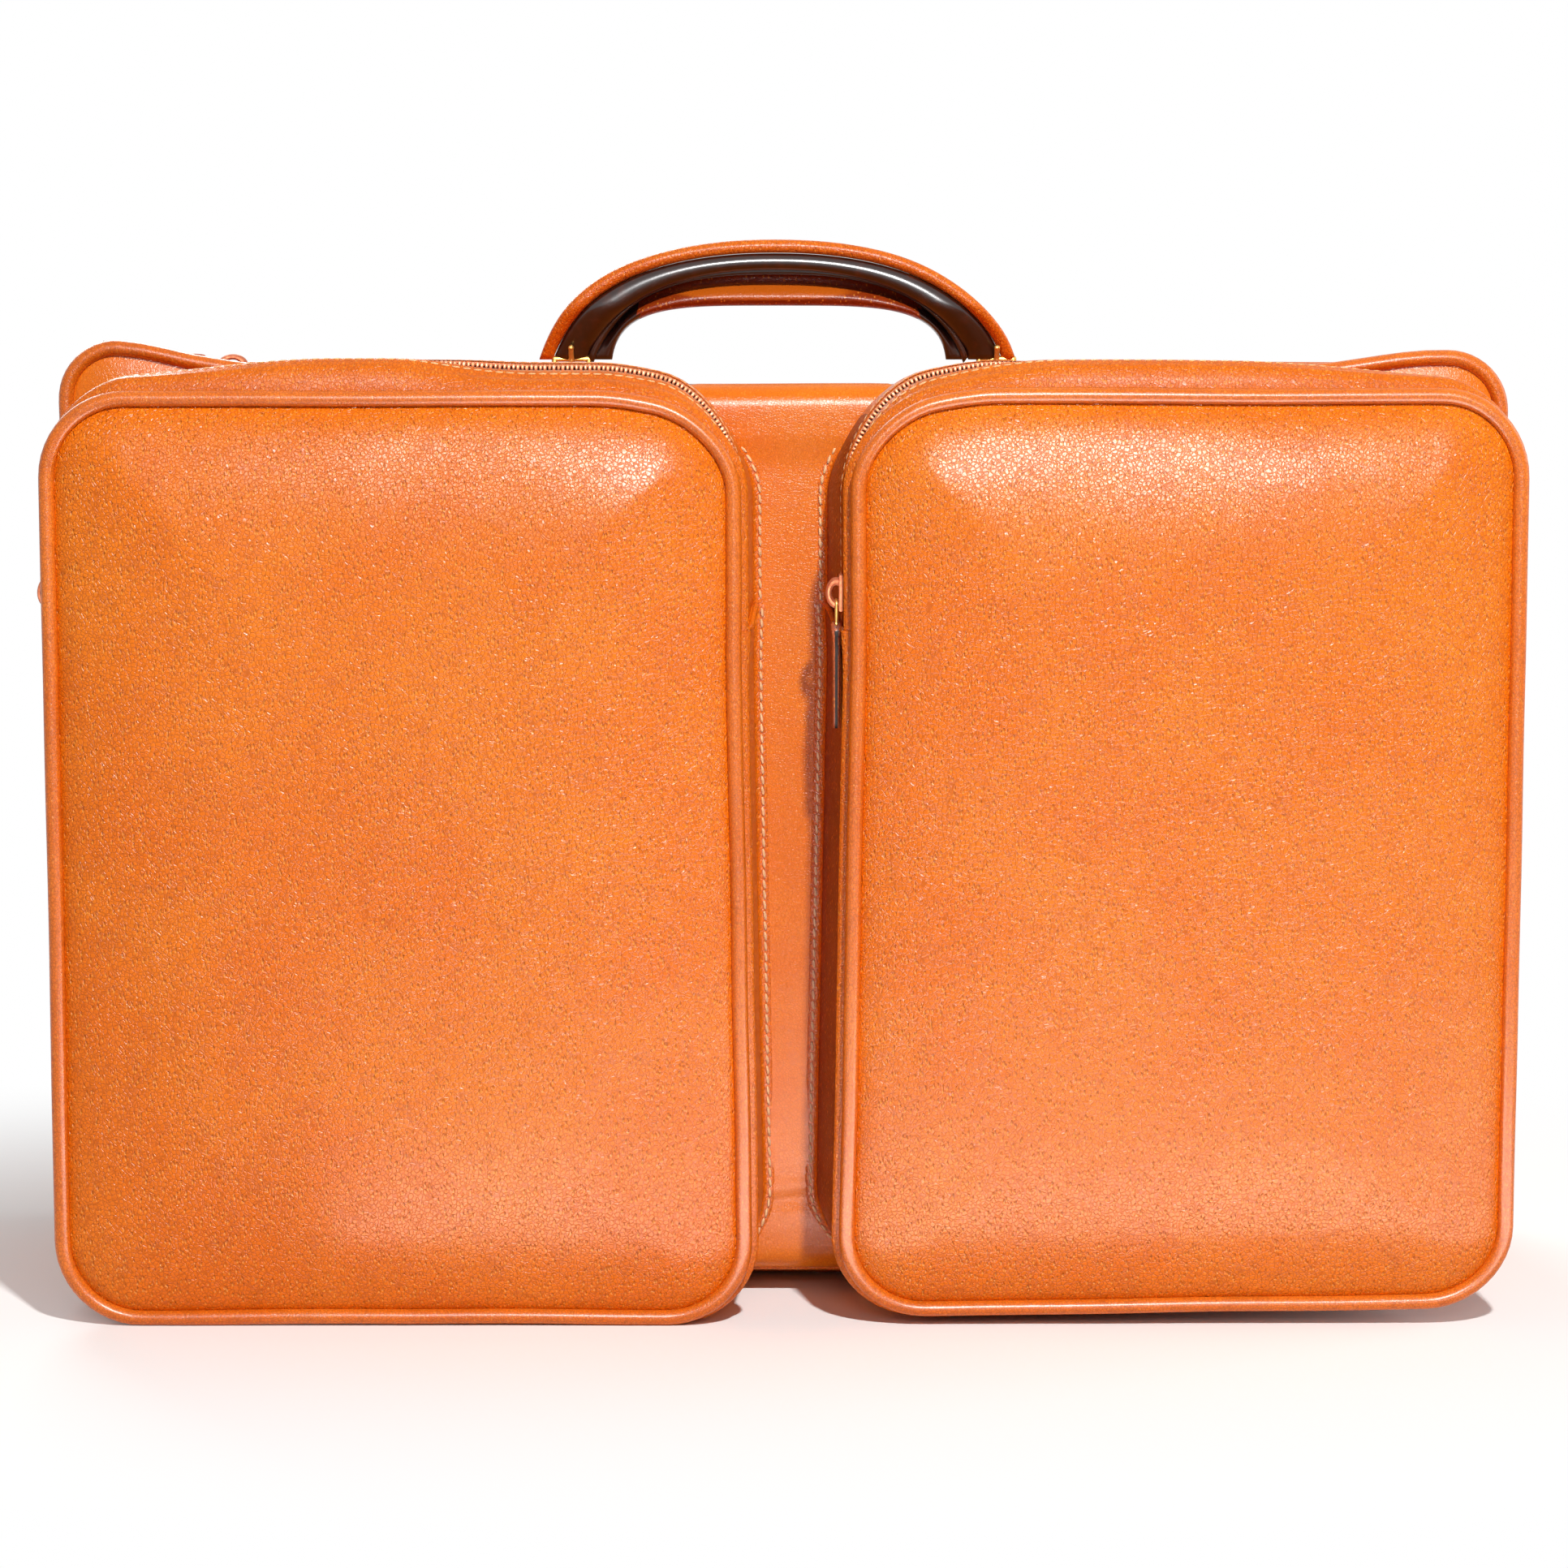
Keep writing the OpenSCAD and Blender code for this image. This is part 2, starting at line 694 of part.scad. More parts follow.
// The holes through the core's feet that the rings go through
module eye_holes() {
    for (side = [-1, 1])
        translate([side * foot_x, handle_y - handle_w, eye_z]) rotate([-90, 0, 0])
            cylinder(d = ring_wire + 0.4, h = 2 * handle_w);
}

module handle_strap() {
    color(tan_leather)
        handle_layer(handle_w, bow_path(handle_a, curve_b, bow),
                     bow_path(core_a + layer_gap, core_b + layer_gap, bow));
}

module handle_core() {
    color(black_edge) difference() {
        handle_layer(core_w, bow_path(core_a, core_b, bow), bow_path(under_a, under_b, bow));
        eye_holes();
    }
}

module handle_belly() {
    color(dark_leather) handle_layer(belly_w, belly_top(), bow_path(belly_a, belly_b, belly_bow));
}

// A ring: straight through the handle's foot, and bent round the staple's bar below
module handle_ring(x) {
    top = eye_z - pivot_z;
    color(brass) translate([x, handle_y, pivot_z]) rotate([0, 0, 90]) {
        tube_run([-ring_half, top], [ring_half, top], ring_wire);
        for (side = [-1, 1]) {
            translate([side * ring_half, 0, top]) sphere(d = joint_d);
            tube_run([side * ring_bend, 0], [side * ring_half, top], ring_wire);
            translate([side * ring_bend, 0, 0]) sphere(d = joint_d);
        }
        tube_bend([0, 0], ring_bend, ring_wire, 180);
        tube_bend([0, 0], ring_bend, ring_wire, 270);
    }
}

module left_ring() {
    handle_ring(-foot_x);
}

module right_ring() {
    handle_ring(foot_x);
}

back_panel();
back_piping();
tray_gusset();
tray_base();
back_board();
base_board();
tray_lining();
main_zip_rear();
handle_plate();
left_staple();
right_staple();
front_panel();
front_piping();
lid_gusset();
lid_base();
front_board();
lid_lining();
main_zip_front();
main_slider();
main_link();
main_tab();
left_lower_front();
left_lower_piping();
left_rear_gusset();
left_lower_gusset();
left_zip_rear();
left_upper_front();
left_upper_piping();
left_mouth_gusset();
left_zip_front();
left_slider();
left_link();
left_tab();
right_lower_front();
right_lower_piping();
right_rear_gusset();
right_lower_gusset();
right_zip_rear();
right_upper_front();
right_upper_piping();
right_mouth_gusset();
right_zip_front();
right_slider();
right_link();
right_tab();
handle_strap();
handle_core();
handle_belly();
left_ring();
right_ring();
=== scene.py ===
# %% [markdown]
# # A leather travel bag
# The real bag is a shallow soft case of tan pigskin-grained leather. Two box pockets are sewn to
# its front, every edge carries a leather piping, and an arched handle lies on brass rings.
# The rigid stand-ins of the CAD model are loaded first. Each leather piece is then made anew as a
# sheet that is laid along the same outlines, so that it fits the frame without any adjusting.

# %% Load the frame
import math

import bpy
import numpy as np
from mathutils import Matrix, Vector, noise


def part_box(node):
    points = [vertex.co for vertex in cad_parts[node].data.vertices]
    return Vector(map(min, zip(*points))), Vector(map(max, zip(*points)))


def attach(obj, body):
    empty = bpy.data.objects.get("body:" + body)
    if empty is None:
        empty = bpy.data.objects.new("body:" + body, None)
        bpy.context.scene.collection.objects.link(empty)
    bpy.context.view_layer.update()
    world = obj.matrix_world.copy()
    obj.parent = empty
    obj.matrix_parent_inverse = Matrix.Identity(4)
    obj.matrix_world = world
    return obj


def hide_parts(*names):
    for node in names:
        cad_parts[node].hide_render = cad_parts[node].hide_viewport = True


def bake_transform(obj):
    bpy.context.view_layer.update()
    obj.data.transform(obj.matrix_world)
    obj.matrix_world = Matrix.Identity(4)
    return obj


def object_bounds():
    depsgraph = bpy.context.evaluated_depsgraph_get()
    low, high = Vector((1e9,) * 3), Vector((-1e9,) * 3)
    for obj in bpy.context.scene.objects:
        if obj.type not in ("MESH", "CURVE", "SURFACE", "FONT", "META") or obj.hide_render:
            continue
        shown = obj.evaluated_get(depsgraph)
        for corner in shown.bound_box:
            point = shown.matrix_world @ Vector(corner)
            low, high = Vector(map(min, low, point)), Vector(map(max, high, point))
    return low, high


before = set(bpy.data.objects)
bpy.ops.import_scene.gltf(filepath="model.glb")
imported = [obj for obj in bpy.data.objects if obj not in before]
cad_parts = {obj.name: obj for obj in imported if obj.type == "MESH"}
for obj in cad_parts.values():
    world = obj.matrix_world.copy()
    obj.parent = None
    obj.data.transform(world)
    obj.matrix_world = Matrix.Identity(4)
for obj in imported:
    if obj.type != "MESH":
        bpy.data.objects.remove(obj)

cad_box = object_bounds()
MM = 0.001
print("CAD box", [[round(c, 4) for c in corner] for corner in cad_box])

# %% [markdown]
# ## Camera, floor and light
# The photograph was taken from 1.6 m in front of the pockets with the camera a little above the
# top of the bag and tilted down by seven degrees, through a long lens. A small lamp high on the
# right stands in for the sun, and two soft ones light the back and the right side. Two lamps that
# show only in gloss, one far in front and one low on the floor, give the leather its broad sheen.
# Only what the camera sees directly is made white.

# %% Camera
bpy.ops.object.camera_add(location=(0, -1.725, 0.408), rotation=(math.radians(90 - 7.06), 0, 0))
camera = bpy.context.object
camera.data.lens = 97.85
camera.data.sensor_width = 36
bpy.context.scene.camera = camera
bpy.context.scene.view_settings.view_transform = "Standard"


# %% Colours and nodes
def linear(code):
    """An sRGB hex colour as linear red, green, blue and alpha."""
    parts = [int(code[i:i + 2], 16) / 255 for i in (1, 3, 5)]
    return [c / 12.92 if c <= 0.04045 else ((c + 0.055) / 1.055) ** 2.4 for c in parts] + [1.0]


def add_node(tree, kind, settings=None, inputs=None):
    """Adds a node; an input given as a socket is linked, and any other is set."""
    node = tree.nodes.new(kind)
    for key, value in (settings or {}).items():
        setattr(node, key, value)
    for key, value in (inputs or {}).items():
        if isinstance(value, bpy.types.NodeSocket):
            tree.links.new(value, node.inputs[key])
        else:
            node.inputs[key].default_value = value
    return node


# %% Floor and lamps
def lamp(name, place, aim, size, watts):
    """A rectangular area lamp of a width and a height, at place, that looks at aim."""
    bpy.ops.object.light_add(type="AREA", location=place)
    light = bpy.context.object
    light.name = name
    light.data.shape = "RECTANGLE"
    light.data.size, light.data.size_y = size
    light.data.energy = watts
    light.rotation_euler = (Vector(aim) - Vector(place)).to_track_quat("-Z", "Y").to_euler()
    light.visible_camera = False
    return light


high_lamp = lamp("high_lamp", (0.42, -1.50, 1.85), (0, 0, 0.2), (0.10, 0.10), 50)
high_lamp.visible_glossy = False
lamp("back_lamp", (-0.9, 2.2, 1.5), (0, 0, 0.2), (1.4, 1.0), 34)
lamp("side_lamp", (2.3, 0.4, 1.1), (0, 0, 0.2), (1.2, 1.2), 14)
glints = [lamp("window_glint", (0.12, -2.05, 1.08), (0, 0, 0.2), (0.6, 0.4), 88),
          lamp("floor_glint", (0.17, -0.30, 0.004), (0.17, -0.30, 1), (0.7, 0.24), 6.0)]
for light in glints:
    light.visible_diffuse = False

world = bpy.data.worlds.new("pale_room")
bpy.context.scene.world = world
world.use_nodes = True
sky = world.node_tree
sky.nodes.clear()


def direct(tree):
    """1 for the rays that the eye sees directly, in gloss or through glass, and 0 for the rest."""
    rays = add_node(tree, "ShaderNodeLightPath")
    both = add_node(tree, "ShaderNodeMath", {"operation": "MAXIMUM"},
                    {0: rays.outputs["Is Camera Ray"], 1: rays.outputs["Is Glossy Ray"]})
    return add_node(tree, "ShaderNodeMath", {"operation": "MAXIMUM"},
                    {0: both.outputs[0], 1: rays.outputs["Is Transmission Ray"]}).outputs[0]


room = add_node(sky, "ShaderNodeBackground", inputs={"Color": linear("#eef1f5"), "Strength": 0.13})
seen = add_node(sky, "ShaderNodeBackground", inputs={"Color": linear("#ffffff"), "Strength": 1.0})
either = add_node(sky, "ShaderNodeMixShader",
                  inputs={0: direct(sky), 1: room.outputs[0], 2: seen.outputs[0]})
add_node(sky, "ShaderNodeOutputWorld", inputs={"Surface": either.outputs[0]})

bpy.ops.mesh.primitive_plane_add(size=12)
floor = bpy.context.object
floor.name = "floor"
bpy.ops.transform.translate(value=(0, 0, cad_box[0][2] - 0.0002))
paper = bpy.data.materials.new("matt_white_paper")
paper.use_nodes = True
tree = paper.node_tree
bsdf = tree.nodes["Principled BSDF"]
bsdf.inputs["Base Color"].default_value = linear("#f7f6f4")
bsdf.inputs["Roughness"].default_value = 0.9
narrowed = add_node(tree, "ShaderNodeVectorMath", {"operation": "MULTIPLY"},
                    {0: add_node(tree, "ShaderNodeTexCoord").outputs["Object"], 1: (0.55, 1, 1)})
spot = add_node(tree, "ShaderNodeVectorMath", {"operation": "LENGTH"}, {0: narrowed.outputs[0]})
away = add_node(tree, "ShaderNodeMapRange", {"interpolation_type": "SMOOTHSTEP"},
                {0: spot.outputs["Value"], 1: 0.12, 2: 0.42})
white = add_node(tree, "ShaderNodeEmission", inputs={"Color": linear("#ffffff"), "Strength": 1.0})
share = add_node(tree, "ShaderNodeMath", {"operation": "MULTIPLY"}, {0: away.outputs[0], 1: direct(tree)})
blend = add_node(tree, "ShaderNodeMixShader", inputs={0: share.outputs[0], 1: bsdf.outputs[0], 2: white.outputs[0]})
tree.links.new(blend.outputs[0], tree.nodes["Material Output"].inputs["Surface"])
floor.data.materials.append(paper)

# %% [markdown]
# ## Leather
# The bag is pigskin-grained hide: vegetable-tanned leather, dyed orange tan, plated under heat so
# that it has a fine pebble with pores, and finished with a thin wax. To the eye that means a warm
# orange with soft clouds, a sheen that breaks up over the pebble, and darker creases between the
# pebbles. A bump made of Voronoi cells gives the pebble and a second, sparser one gives the pores.
# All sizes are in millimetres of the real object. One shader recipe serves every leather here,
# because they differ only in dye, grain and polish.


# %% Leather recipe
def bare_material(name, roughness, metallic=0.0):
    """A new material, with its node tree, main shader and object coordinates."""
    material = bpy.data.materials.new(name)
    material.use_nodes = True
    tree = material.node_tree
    shader = tree.nodes["Principled BSDF"]
    shader.inputs["Roughness"].default_value = roughness
    shader.inputs["Metallic"].default_value = metallic
    place = add_node(tree, "ShaderNodeTexCoord").outputs["Object"]
    return material, tree, shader, place


def mixed(tree, factor, a, b, mode="MIX"):
    """A colour mix of a and b, each a socket or an sRGB hex value."""
    pick = lambda c: linear(c) if isinstance(c, str) else c
    node = add_node(tree, "ShaderNodeMix", {"data_type": "RGBA", "blend_type": mode},
                    {0: factor, 6: pick(a), 7: pick(b)})
    return node.outputs[2]


def ranged(tree, value, low, high, to_low=0.0, to_high=1.0):
    """Value taken smoothly from the range low to high to the range to_low to to_high."""
    return add_node(tree, "ShaderNodeMapRange", {"interpolation_type": "SMOOTHSTEP"},
                    {0: value, 1: low, 2: high, 3: to_low, 4: to_high}).outputs[0]


def leather(name, dye, light, dark, grain_mm, depth_mm, roughness, wax, pore_and_glint_strength=0.5, painted_glint_colour="#fb9f3a"):
    """Leather with a dye and its lighter and darker clouds; wax is the strength of the finish."""
    material, tree, shader, place = bare_material(name, roughness)
    sway = add_node(tree, "ShaderNodeTexNoise", inputs={"Vector": place, "Scale": 260, "Detail": 2})
    bent = add_node(tree, "ShaderNodeMix", {"data_type": "VECTOR"},
                    {0: 0.0007, 4: place, 5: sway.outputs["Color"]}).outputs[1]
    cells = add_node(tree, "ShaderNodeTexVoronoi", {"feature": "DISTANCE_TO_EDGE"},
                     {"Vector": bent, "Scale": 1000 / grain_mm})
    pebble = ranged(tree, cells.outputs["Distance"], 0.0, 0.17)
    fine = add_node(tree, "ShaderNodeTexNoise",
                    inputs={"Vector": place, "Scale": 1400 / grain_mm, "Detail": 3})
    long = add_node(tree, "ShaderNodeMapping", {}, {"Vector": bent, "Rotation": (0, 0.45, 0), "Scale": (1.5, 1.0, 0.75)})
    pits = add_node(tree, "ShaderNodeTexVoronoi", {"feature": "F1"},
                    {"Vector": long.outputs[0], "Scale": 1000 / 2.3})
    pit = ranged(tree, pits.outputs["Distance"], 0.16, 0.31, 1.0, 0.0)
    clouds = add_node(tree, "ShaderNodeTexNoise",
                      inputs={"Vector": place, "Scale": 14, "Detail": 4, "Roughness": 0.6})
    small = add_node(tree, "ShaderNodeTexNoise",
                     inputs={"Vector": place, "Scale": 110, "Detail": 5, "Roughness": 0.7})
    tone = mixed(tree, ranged(tree, clouds.outputs[0], 0.3, 0.7), dye, light)
    tone = mixed(tree, ranged(tree, small.outputs[0], 0.42, 0.75, 0.0, 0.28), tone, dark)
    tone = mixed(tree, ranged(tree, pebble, 0.0, 1.0, 0.45, 0.0), tone, dark)
    # Light flecks beside each pore are painted highlights on the pore rims.
    beside = add_node(tree, "ShaderNodeVectorMath", {"operation": "ADD"},
                      {0: long.outputs[0], 1: (0.0004, 0.0, 0.0004)})
    glint_cells = add_node(tree, "ShaderNodeTexVoronoi", {"feature": "F1"},
                    {"Vector": beside.outputs[0], "Scale": 1000 / 2.3})
    rim = ranged(tree, glint_cells.outputs["Distance"], 0.14, 0.30, pore_and_glint_strength, 0.0)
    tone = mixed(tree, rim, tone, painted_glint_colour)
    hole = add_node(tree, "ShaderNodeMath", {"operation": "MULTIPLY"}, {0: pit, 1: pore_and_glint_strength})
    # The pores are drawn darker in the colour, besides being sunk by the bump.
    darker_pores = add_node(tree, "ShaderNodeMath", {"operation": "MULTIPLY"}, {0: hole.outputs[0], 1: 0.5})
    tone = mixed(tree, darker_pores.outputs[0], tone, dark)
    tree.links.new(tone, shader.inputs["Base Color"])
    rough = ranged(tree, small.outputs[0], 0.3, 0.7, roughness - 0.03, roughness + 0.04)
    tree.links.new(rough, shader.inputs["Roughness"])
    soft = add_node(tree, "ShaderNodeMath", {"operation": "MULTIPLY"}, {0: pebble, 1: 0.5})
    height = add_node(tree, "ShaderNodeMath", {"operation": "MULTIPLY_ADD"},
                      {0: fine.outputs[0], 1: 0.3, 2: soft.outputs[0]})
    height = add_node(tree, "ShaderNodeMath", {"operation": "MULTIPLY_ADD"},
                      {0: hole.outputs[0], 1: -1.8, 2: height.outputs[0]})
    waves = add_node(tree, "ShaderNodeBump", inputs={"Strength": 0.3, "Distance": 0.0009,
                                                     "Height": small.outputs[0]})
    bump = add_node(tree, "ShaderNodeBump", inputs={
        "Strength": 0.8, "Distance": depth_mm * MM, "Height": height.outputs[0],
        "Normal": waves.outputs[0]})
    tree.links.new(bump.outputs[0], shader.inputs["Normal"])
    shader.inputs["Specular IOR Level"].default_value = 0.2
    shader.inputs["Coat Weight"].default_value = wax
    shader.inputs["Coat Roughness"].default_value = 0.25
    return material


front_leather = leather("plated_pigskin_grain_front", "#ea7005", "#f07d10", "#ac4804", 1.5, 0.30, 0.25, 0.05, 0.7)
side_leather = leather("plated_pigskin_grain_sides", "#dc6708", "#e57410", "#a84606", 1.5, 0.20, 0.31, 0.1)
smooth_leather = leather("smooth_calf_centre", "#e47108", "#ea7d12", "#c95d06", 1.1, 0.07, 0.24, 0.1, 0.25)
piping_leather = leather("skived_calf_piping", "#db6810", "#e8781e", "#9c4208", 1.2, 0.09, 0.30, 0.35, 0.3)
# A darker copy of the side leather: painted shade for the wall that faces into the gap.
painted_shade_gap_leather = leather("pigskin_with_painted_shade_in_the_gap", "#8c3206", "#9a3c0a", "#6e2404", 1.5, 0.16, 0.36, 0.05)
tab_leather = leather("worn_calf_tab", "#b9562a", "#c8693a", "#6f2c12", 1.2, 0.1, 0.4, 0.2)
flesh_side = leather("suede_flesh_side", "#b98a5e", "#c69a70", "#96693f", 0.8, 0.12, 0.9, 0.0, 0.1, "#c9a078")
print("leathers", 7)

# %% [markdown]
# ## Metal, edge lacquer, thread and cloth
# The zips and fittings are cast and stamped brass that has lost its polish, so it is metallic with
# a middling roughness and faint scratches. The handle's edges were sanded, painted black and
# lacquered until they shine like glass. The thread is waxed linen, bleached to a pale peach, and
# the lining is a plain cotton weave, whose threads are drawn at 1 mm because the real ones, half as
# wide, would not show.


# %% Brass, lacquer, thread, cloth and board
def brass(name, colour, dark, roughness):
    """Brass with thin dark films in its hollows and fine scratches."""
    material, tree, shader, place = bare_material(name, roughness, 1.0)
    film = add_node(tree, "ShaderNodeTexNoise", inputs={"Vector": place, "Scale": 420, "Detail": 4})
    tone = mixed(tree, ranged(tree, film.outputs[0], 0.4, 0.72, 0.0, 0.6), colour, dark)
    tree.links.new(tone, shader.inputs["Base Color"])
    rough = ranged(tree, film.outputs[0], 0.3, 0.7, roughness, roughness + 0.2)
    tree.links.new(rough, shader.inputs["Roughness"])
    bump = add_node(tree, "ShaderNodeBump", inputs={"Strength": 0.25, "Distance": 0.0001,
                                                    "Height": film.outputs[0]})
    tree.links.new(bump.outputs[0], shader.inputs["Normal"])
    return material


def lacquer():
    """Black edge paint under clear lacquer, over the layers of the handle."""
    material, tree, shader, place = bare_material("lacquered_black_edge", 0.32)
    layers = add_node(tree, "ShaderNodeTexNoise", inputs={"Vector": place, "Scale": 190, "Detail": 4})
    tone = mixed(tree, ranged(tree, layers.outputs[0], 0.5, 0.8, 0.0, 0.7), "#240a04", "#481a0a")
    tree.links.new(tone, shader.inputs["Base Color"])
    bump = add_node(tree, "ShaderNodeBump", inputs={"Strength": 0.35, "Distance": 0.0004,
                                                    "Height": layers.outputs[0]})
    tree.links.new(bump.outputs[0], shader.inputs["Normal"])
    shader.inputs["Specular IOR Level"].default_value = 0.2
    shader.inputs["Coat Weight"].default_value = 1.0
    shader.inputs["Coat Roughness"].default_value = 0.24
    return material


def woven(name, colour, dark, thread_mm, roughness):
    """A plain weave: waves along all three axes, so that it shows on walls and floors alike."""
    material, tree, shader, place = bare_material(name, roughness)
    weave = None
    for axis in "XYZ":
        bands = add_node(tree, "ShaderNodeTexWave", {"bands_direction": axis},
                         {"Vector": place, "Scale": 314 / thread_mm, "Distortion": 0.6, "Detail": 1})
        weave = bands.outputs[1] if weave is None else add_node(
            tree, "ShaderNodeMath", {"operation": "MAXIMUM"}, {0: weave, 1: bands.outputs[1]}).outputs[0]
    slub = add_node(tree, "ShaderNodeTexNoise", inputs={"Vector": place, "Scale": 60, "Detail": 4})
    tone = mixed(tree, ranged(tree, weave, 0.4, 1.0), dark, colour)
    tone = mixed(tree, ranged(tree, slub.outputs[0], 0.45, 0.8, 0.0, 0.4), tone, dark)
    tree.links.new(tone, shader.inputs["Base Color"])
    bump = add_node(tree, "ShaderNodeBump", inputs={"Strength": 0.6, "Distance": 0.0002, "Height": weave})
    tree.links.new(bump.outputs[0], shader.inputs["Normal"])
    shader.inputs["Sheen Weight"].default_value = 0.3
    return material


fitting_brass = brass("cast_brass_fittings", "#dcae62", "#946a30", 0.3)
slider_brass = brass("copper_washed_sliders", "#c67c5a", "#955238", 0.58)
edge_paint = leather("matt_edge_paint", "#1d0f0b", "#27140e", "#100806", 1.5, 0.08, 0.6, 0.0, 0.1, "#32180f")
tooth_brass = brass("stamped_brass_teeth", "#e5a07a", "#a8653f", 0.45)
edge_lacquer = lacquer()
thread = woven("waxed_linen_thread", "#f2c389", "#d59a58", 0.5, 0.6)
lining_cloth = woven("plain_cotton_lining", "#c79a66", "#a87a48", 1.0, 0.85)
zip_tape = woven("woven_cotton_zip_tape", "#cf7f42", "#aa6230", 0.9, 0.8)
fibreboard = leather("pressed_fibreboard", "#93714d", "#a07e58", "#6d5236", 2.4, 0.1, 0.85, 0.0, 0.2, "#a98a62")
print("other materials", 7)

# %% [markdown]
# ## Outlines
# The case and the pockets are all rounded rectangles, so everything that is sewn along an edge
# follows one. A sheet of leather is laid out as a grid, as it is cut flat on the bench, and each of
# its rows is then placed along the outline. Solidify gives it the leather's thickness and a small
# bevel rounds the cut edges.


# %% Outlines and how leather is laid along them
FINE = 1.0


def steps(count):
    """A number of cuts, halved while drafting."""
    return max(2, int(count * FINE))


def smooth(a, b, x):
    """0 below a, 1 above b and a soft step between."""
    t = np.clip((np.asarray(x, float) - a) / (b - a), 0, 1)
    return t * t * (3 - 2 * t)


def taken_in(o, d):
    """An outline (left, right, bottom, top, radius) taken in by d."""
    return (o[0] + d, o[1] - d, o[2] + d, o[3] - d, max(o[4] - d, 0.001))


def along(o, part="whole", z=0.0, side=36, end=44, corner=12):
    """Points (x, z) and outward normals along an outline, anticlockwise from its right side."""
    left, right, bottom, top, r = o
    z = (bottom + top) / 2 if part == "whole" else z
    places, normals = [], []

    def line(p, q, n, normal):
        for t in np.linspace(0, 1, steps(n), endpoint=False):
            places.append((p[0] + (q[0] - p[0]) * t, p[1] + (q[1] - p[1]) * t))
            normals.append(normal)

    def bend(cx, cz, start):
        for t in np.linspace(0, 90, steps(corner), endpoint=False):
            a = math.radians(start + t)
            places.append((cx + r * math.cos(a), cz + r * math.sin(a)))
            normals.append((math.cos(a), math.sin(a)))

    if part != "lower":
        line((right, z), (right, top - r), side, (1, 0))
        bend(right - r, top - r, 0)
        line((right - r, top), (left + r, top), end, (0, 1))
        bend(left + r, top - r, 90)
        line((left, top - r), (left, z), side, (-1, 0))
    if part != "upper":
        line((left, z), (left, bottom + r), side, (-1, 0))
        bend(left + r, bottom + r, 180)
        line((left + r, bottom), (right - r, bottom), end, (0, -1))
        bend(right - r, bottom + r, 270)
        line((right, bottom + r), (right, z), side, (1, 0))
    places.append((left, z) if part == "upper" else (right, z))
    normals.append((-1, 0) if part == "upper" else (1, 0))
    return np.array(places), np.array(normals)


def only(obj):
    """Selects this object and nothing else."""
    bpy.ops.object.select_all(action="DESELECT")
    obj.select_set(True)
    bpy.context.view_layer.objects.active = obj


def laid(name, rows, material, weld=False):
    """A grid with one vertex for each point of rows, laid on those points."""
    rows = np.asarray(rows, float)
    m, n = rows.shape[:2]
    bpy.ops.object.select_all(action="DESELECT")
    bpy.ops.mesh.primitive_grid_add(x_subdivisions=n - 1, y_subdivisions=m - 1, size=1)
    obj = bpy.context.object
    obj.name = obj.data.name = name
    obj.data.vertices.foreach_set("co", rows.reshape(-1))
    obj.data.update()
    if weld:
        bpy.ops.object.mode_set(mode="EDIT")
        bpy.ops.mesh.select_all(action="SELECT")
        bpy.ops.mesh.remove_doubles(threshold=1e-6)
        bpy.ops.mesh.select_all(action="DESELECT")
        bpy.ops.mesh.select_non_manifold(extend=False)
        bpy.ops.mesh.fill_holes(sides=0)
        bpy.ops.mesh.select_all(action="SELECT")
        bpy.ops.mesh.normals_make_consistent(inside=False)
        bpy.ops.object.mode_set(mode="OBJECT")
    bpy.ops.object.shade_smooth()
    obj.data.materials.append(material)
    return obj


def apply_modifier(obj, kind, **settings):
    """Adds a modifier, sets it and applies it."""
    only(obj)
    bpy.ops.object.modifier_add(type=kind)
    modifier = obj.modifiers[-1]
    for key, value in settings.items():
        setattr(modifier, key, value)
    bpy.ops.object.modifier_apply(modifier=modifier.name)


def thick(obj, thickness, inner=None, rim=0.0004):
    """Gives a sheet its thickness, inwards, with another leather on its inner side."""
    if inner:
        obj.data.materials.append(inner)
    apply_modifier(obj, "SOLIDIFY", thickness=thickness, offset=-1.0, use_even_offset=False,
                   material_offset=1 if inner else 0)
    if rim:
        apply_modifier(obj, "BEVEL", width=rim, segments=2, limit_method="ANGLE",
                       angle_limit=math.radians(50))
    return obj


def ripple(points, size, height, seed=0.0):
    """Soft unevenness: a height for each point, from noise of that size."""
    return np.array([noise.noise(Vector((p[0] / size + seed, p[1] / size, p[2] / size - seed))) * height
                     for p in points])


# %% Copies of one small thing along a row
def copies(name, pattern, places, material):
    """One mesh of pattern's copies. A place is its origin, the way along the row, and outwards."""
    corners = np.array([v.co for v in pattern.data.vertices])
    faces = [list(f.vertices) for f in pattern.data.polygons]
    points, polygons = [], []
    for origin, ahead, out in places:
        ahead = np.asarray(ahead) / np.linalg.norm(ahead)
        across = np.cross(out, ahead)
        across /= np.linalg.norm(across)
        turn = np.stack([ahead, across, np.cross(ahead, across)])
        start = len(points) * len(corners)
        points.append(corners @ turn + origin)
        polygons += [[v + start for v in f] for f in faces]
    mesh = bpy.data.meshes.new(name)
    mesh.from_pydata(np.concatenate(points), [], polygons)
    obj = bpy.data.objects.new(name, mesh)
    bpy.context.scene.collection.objects.link(obj)
    only(obj)
    bpy.ops.object.shade_smooth()
    mesh.materials.append(material)
    return obj


def spaced(points, outs, pitch, start=0.0):
    """Places every pitch along a line of points: origin, way along and outwards."""
    gaps = np.linalg.norm(np.diff(points, axis=0), axis=1)
    reach = np.concatenate([[0], np.cumsum(gaps)])
    stops = np.arange(start, reach[-1] - 0.2 * pitch, pitch)
    at = lambda column, s: np.interp(s, reach, column)
    origins = np.stack([at(points[:, k], stops) for k in range(3)], axis=1)
    ahead = np.stack([at(points[:, k], stops + 0.0005) - at(points[:, k], stops - 0.0005)
                      for k in range(3)], axis=1)
    out = np.stack([at(outs[:, k], stops) for k in range(3)], axis=1)
    return list(zip(origins, ahead, out))


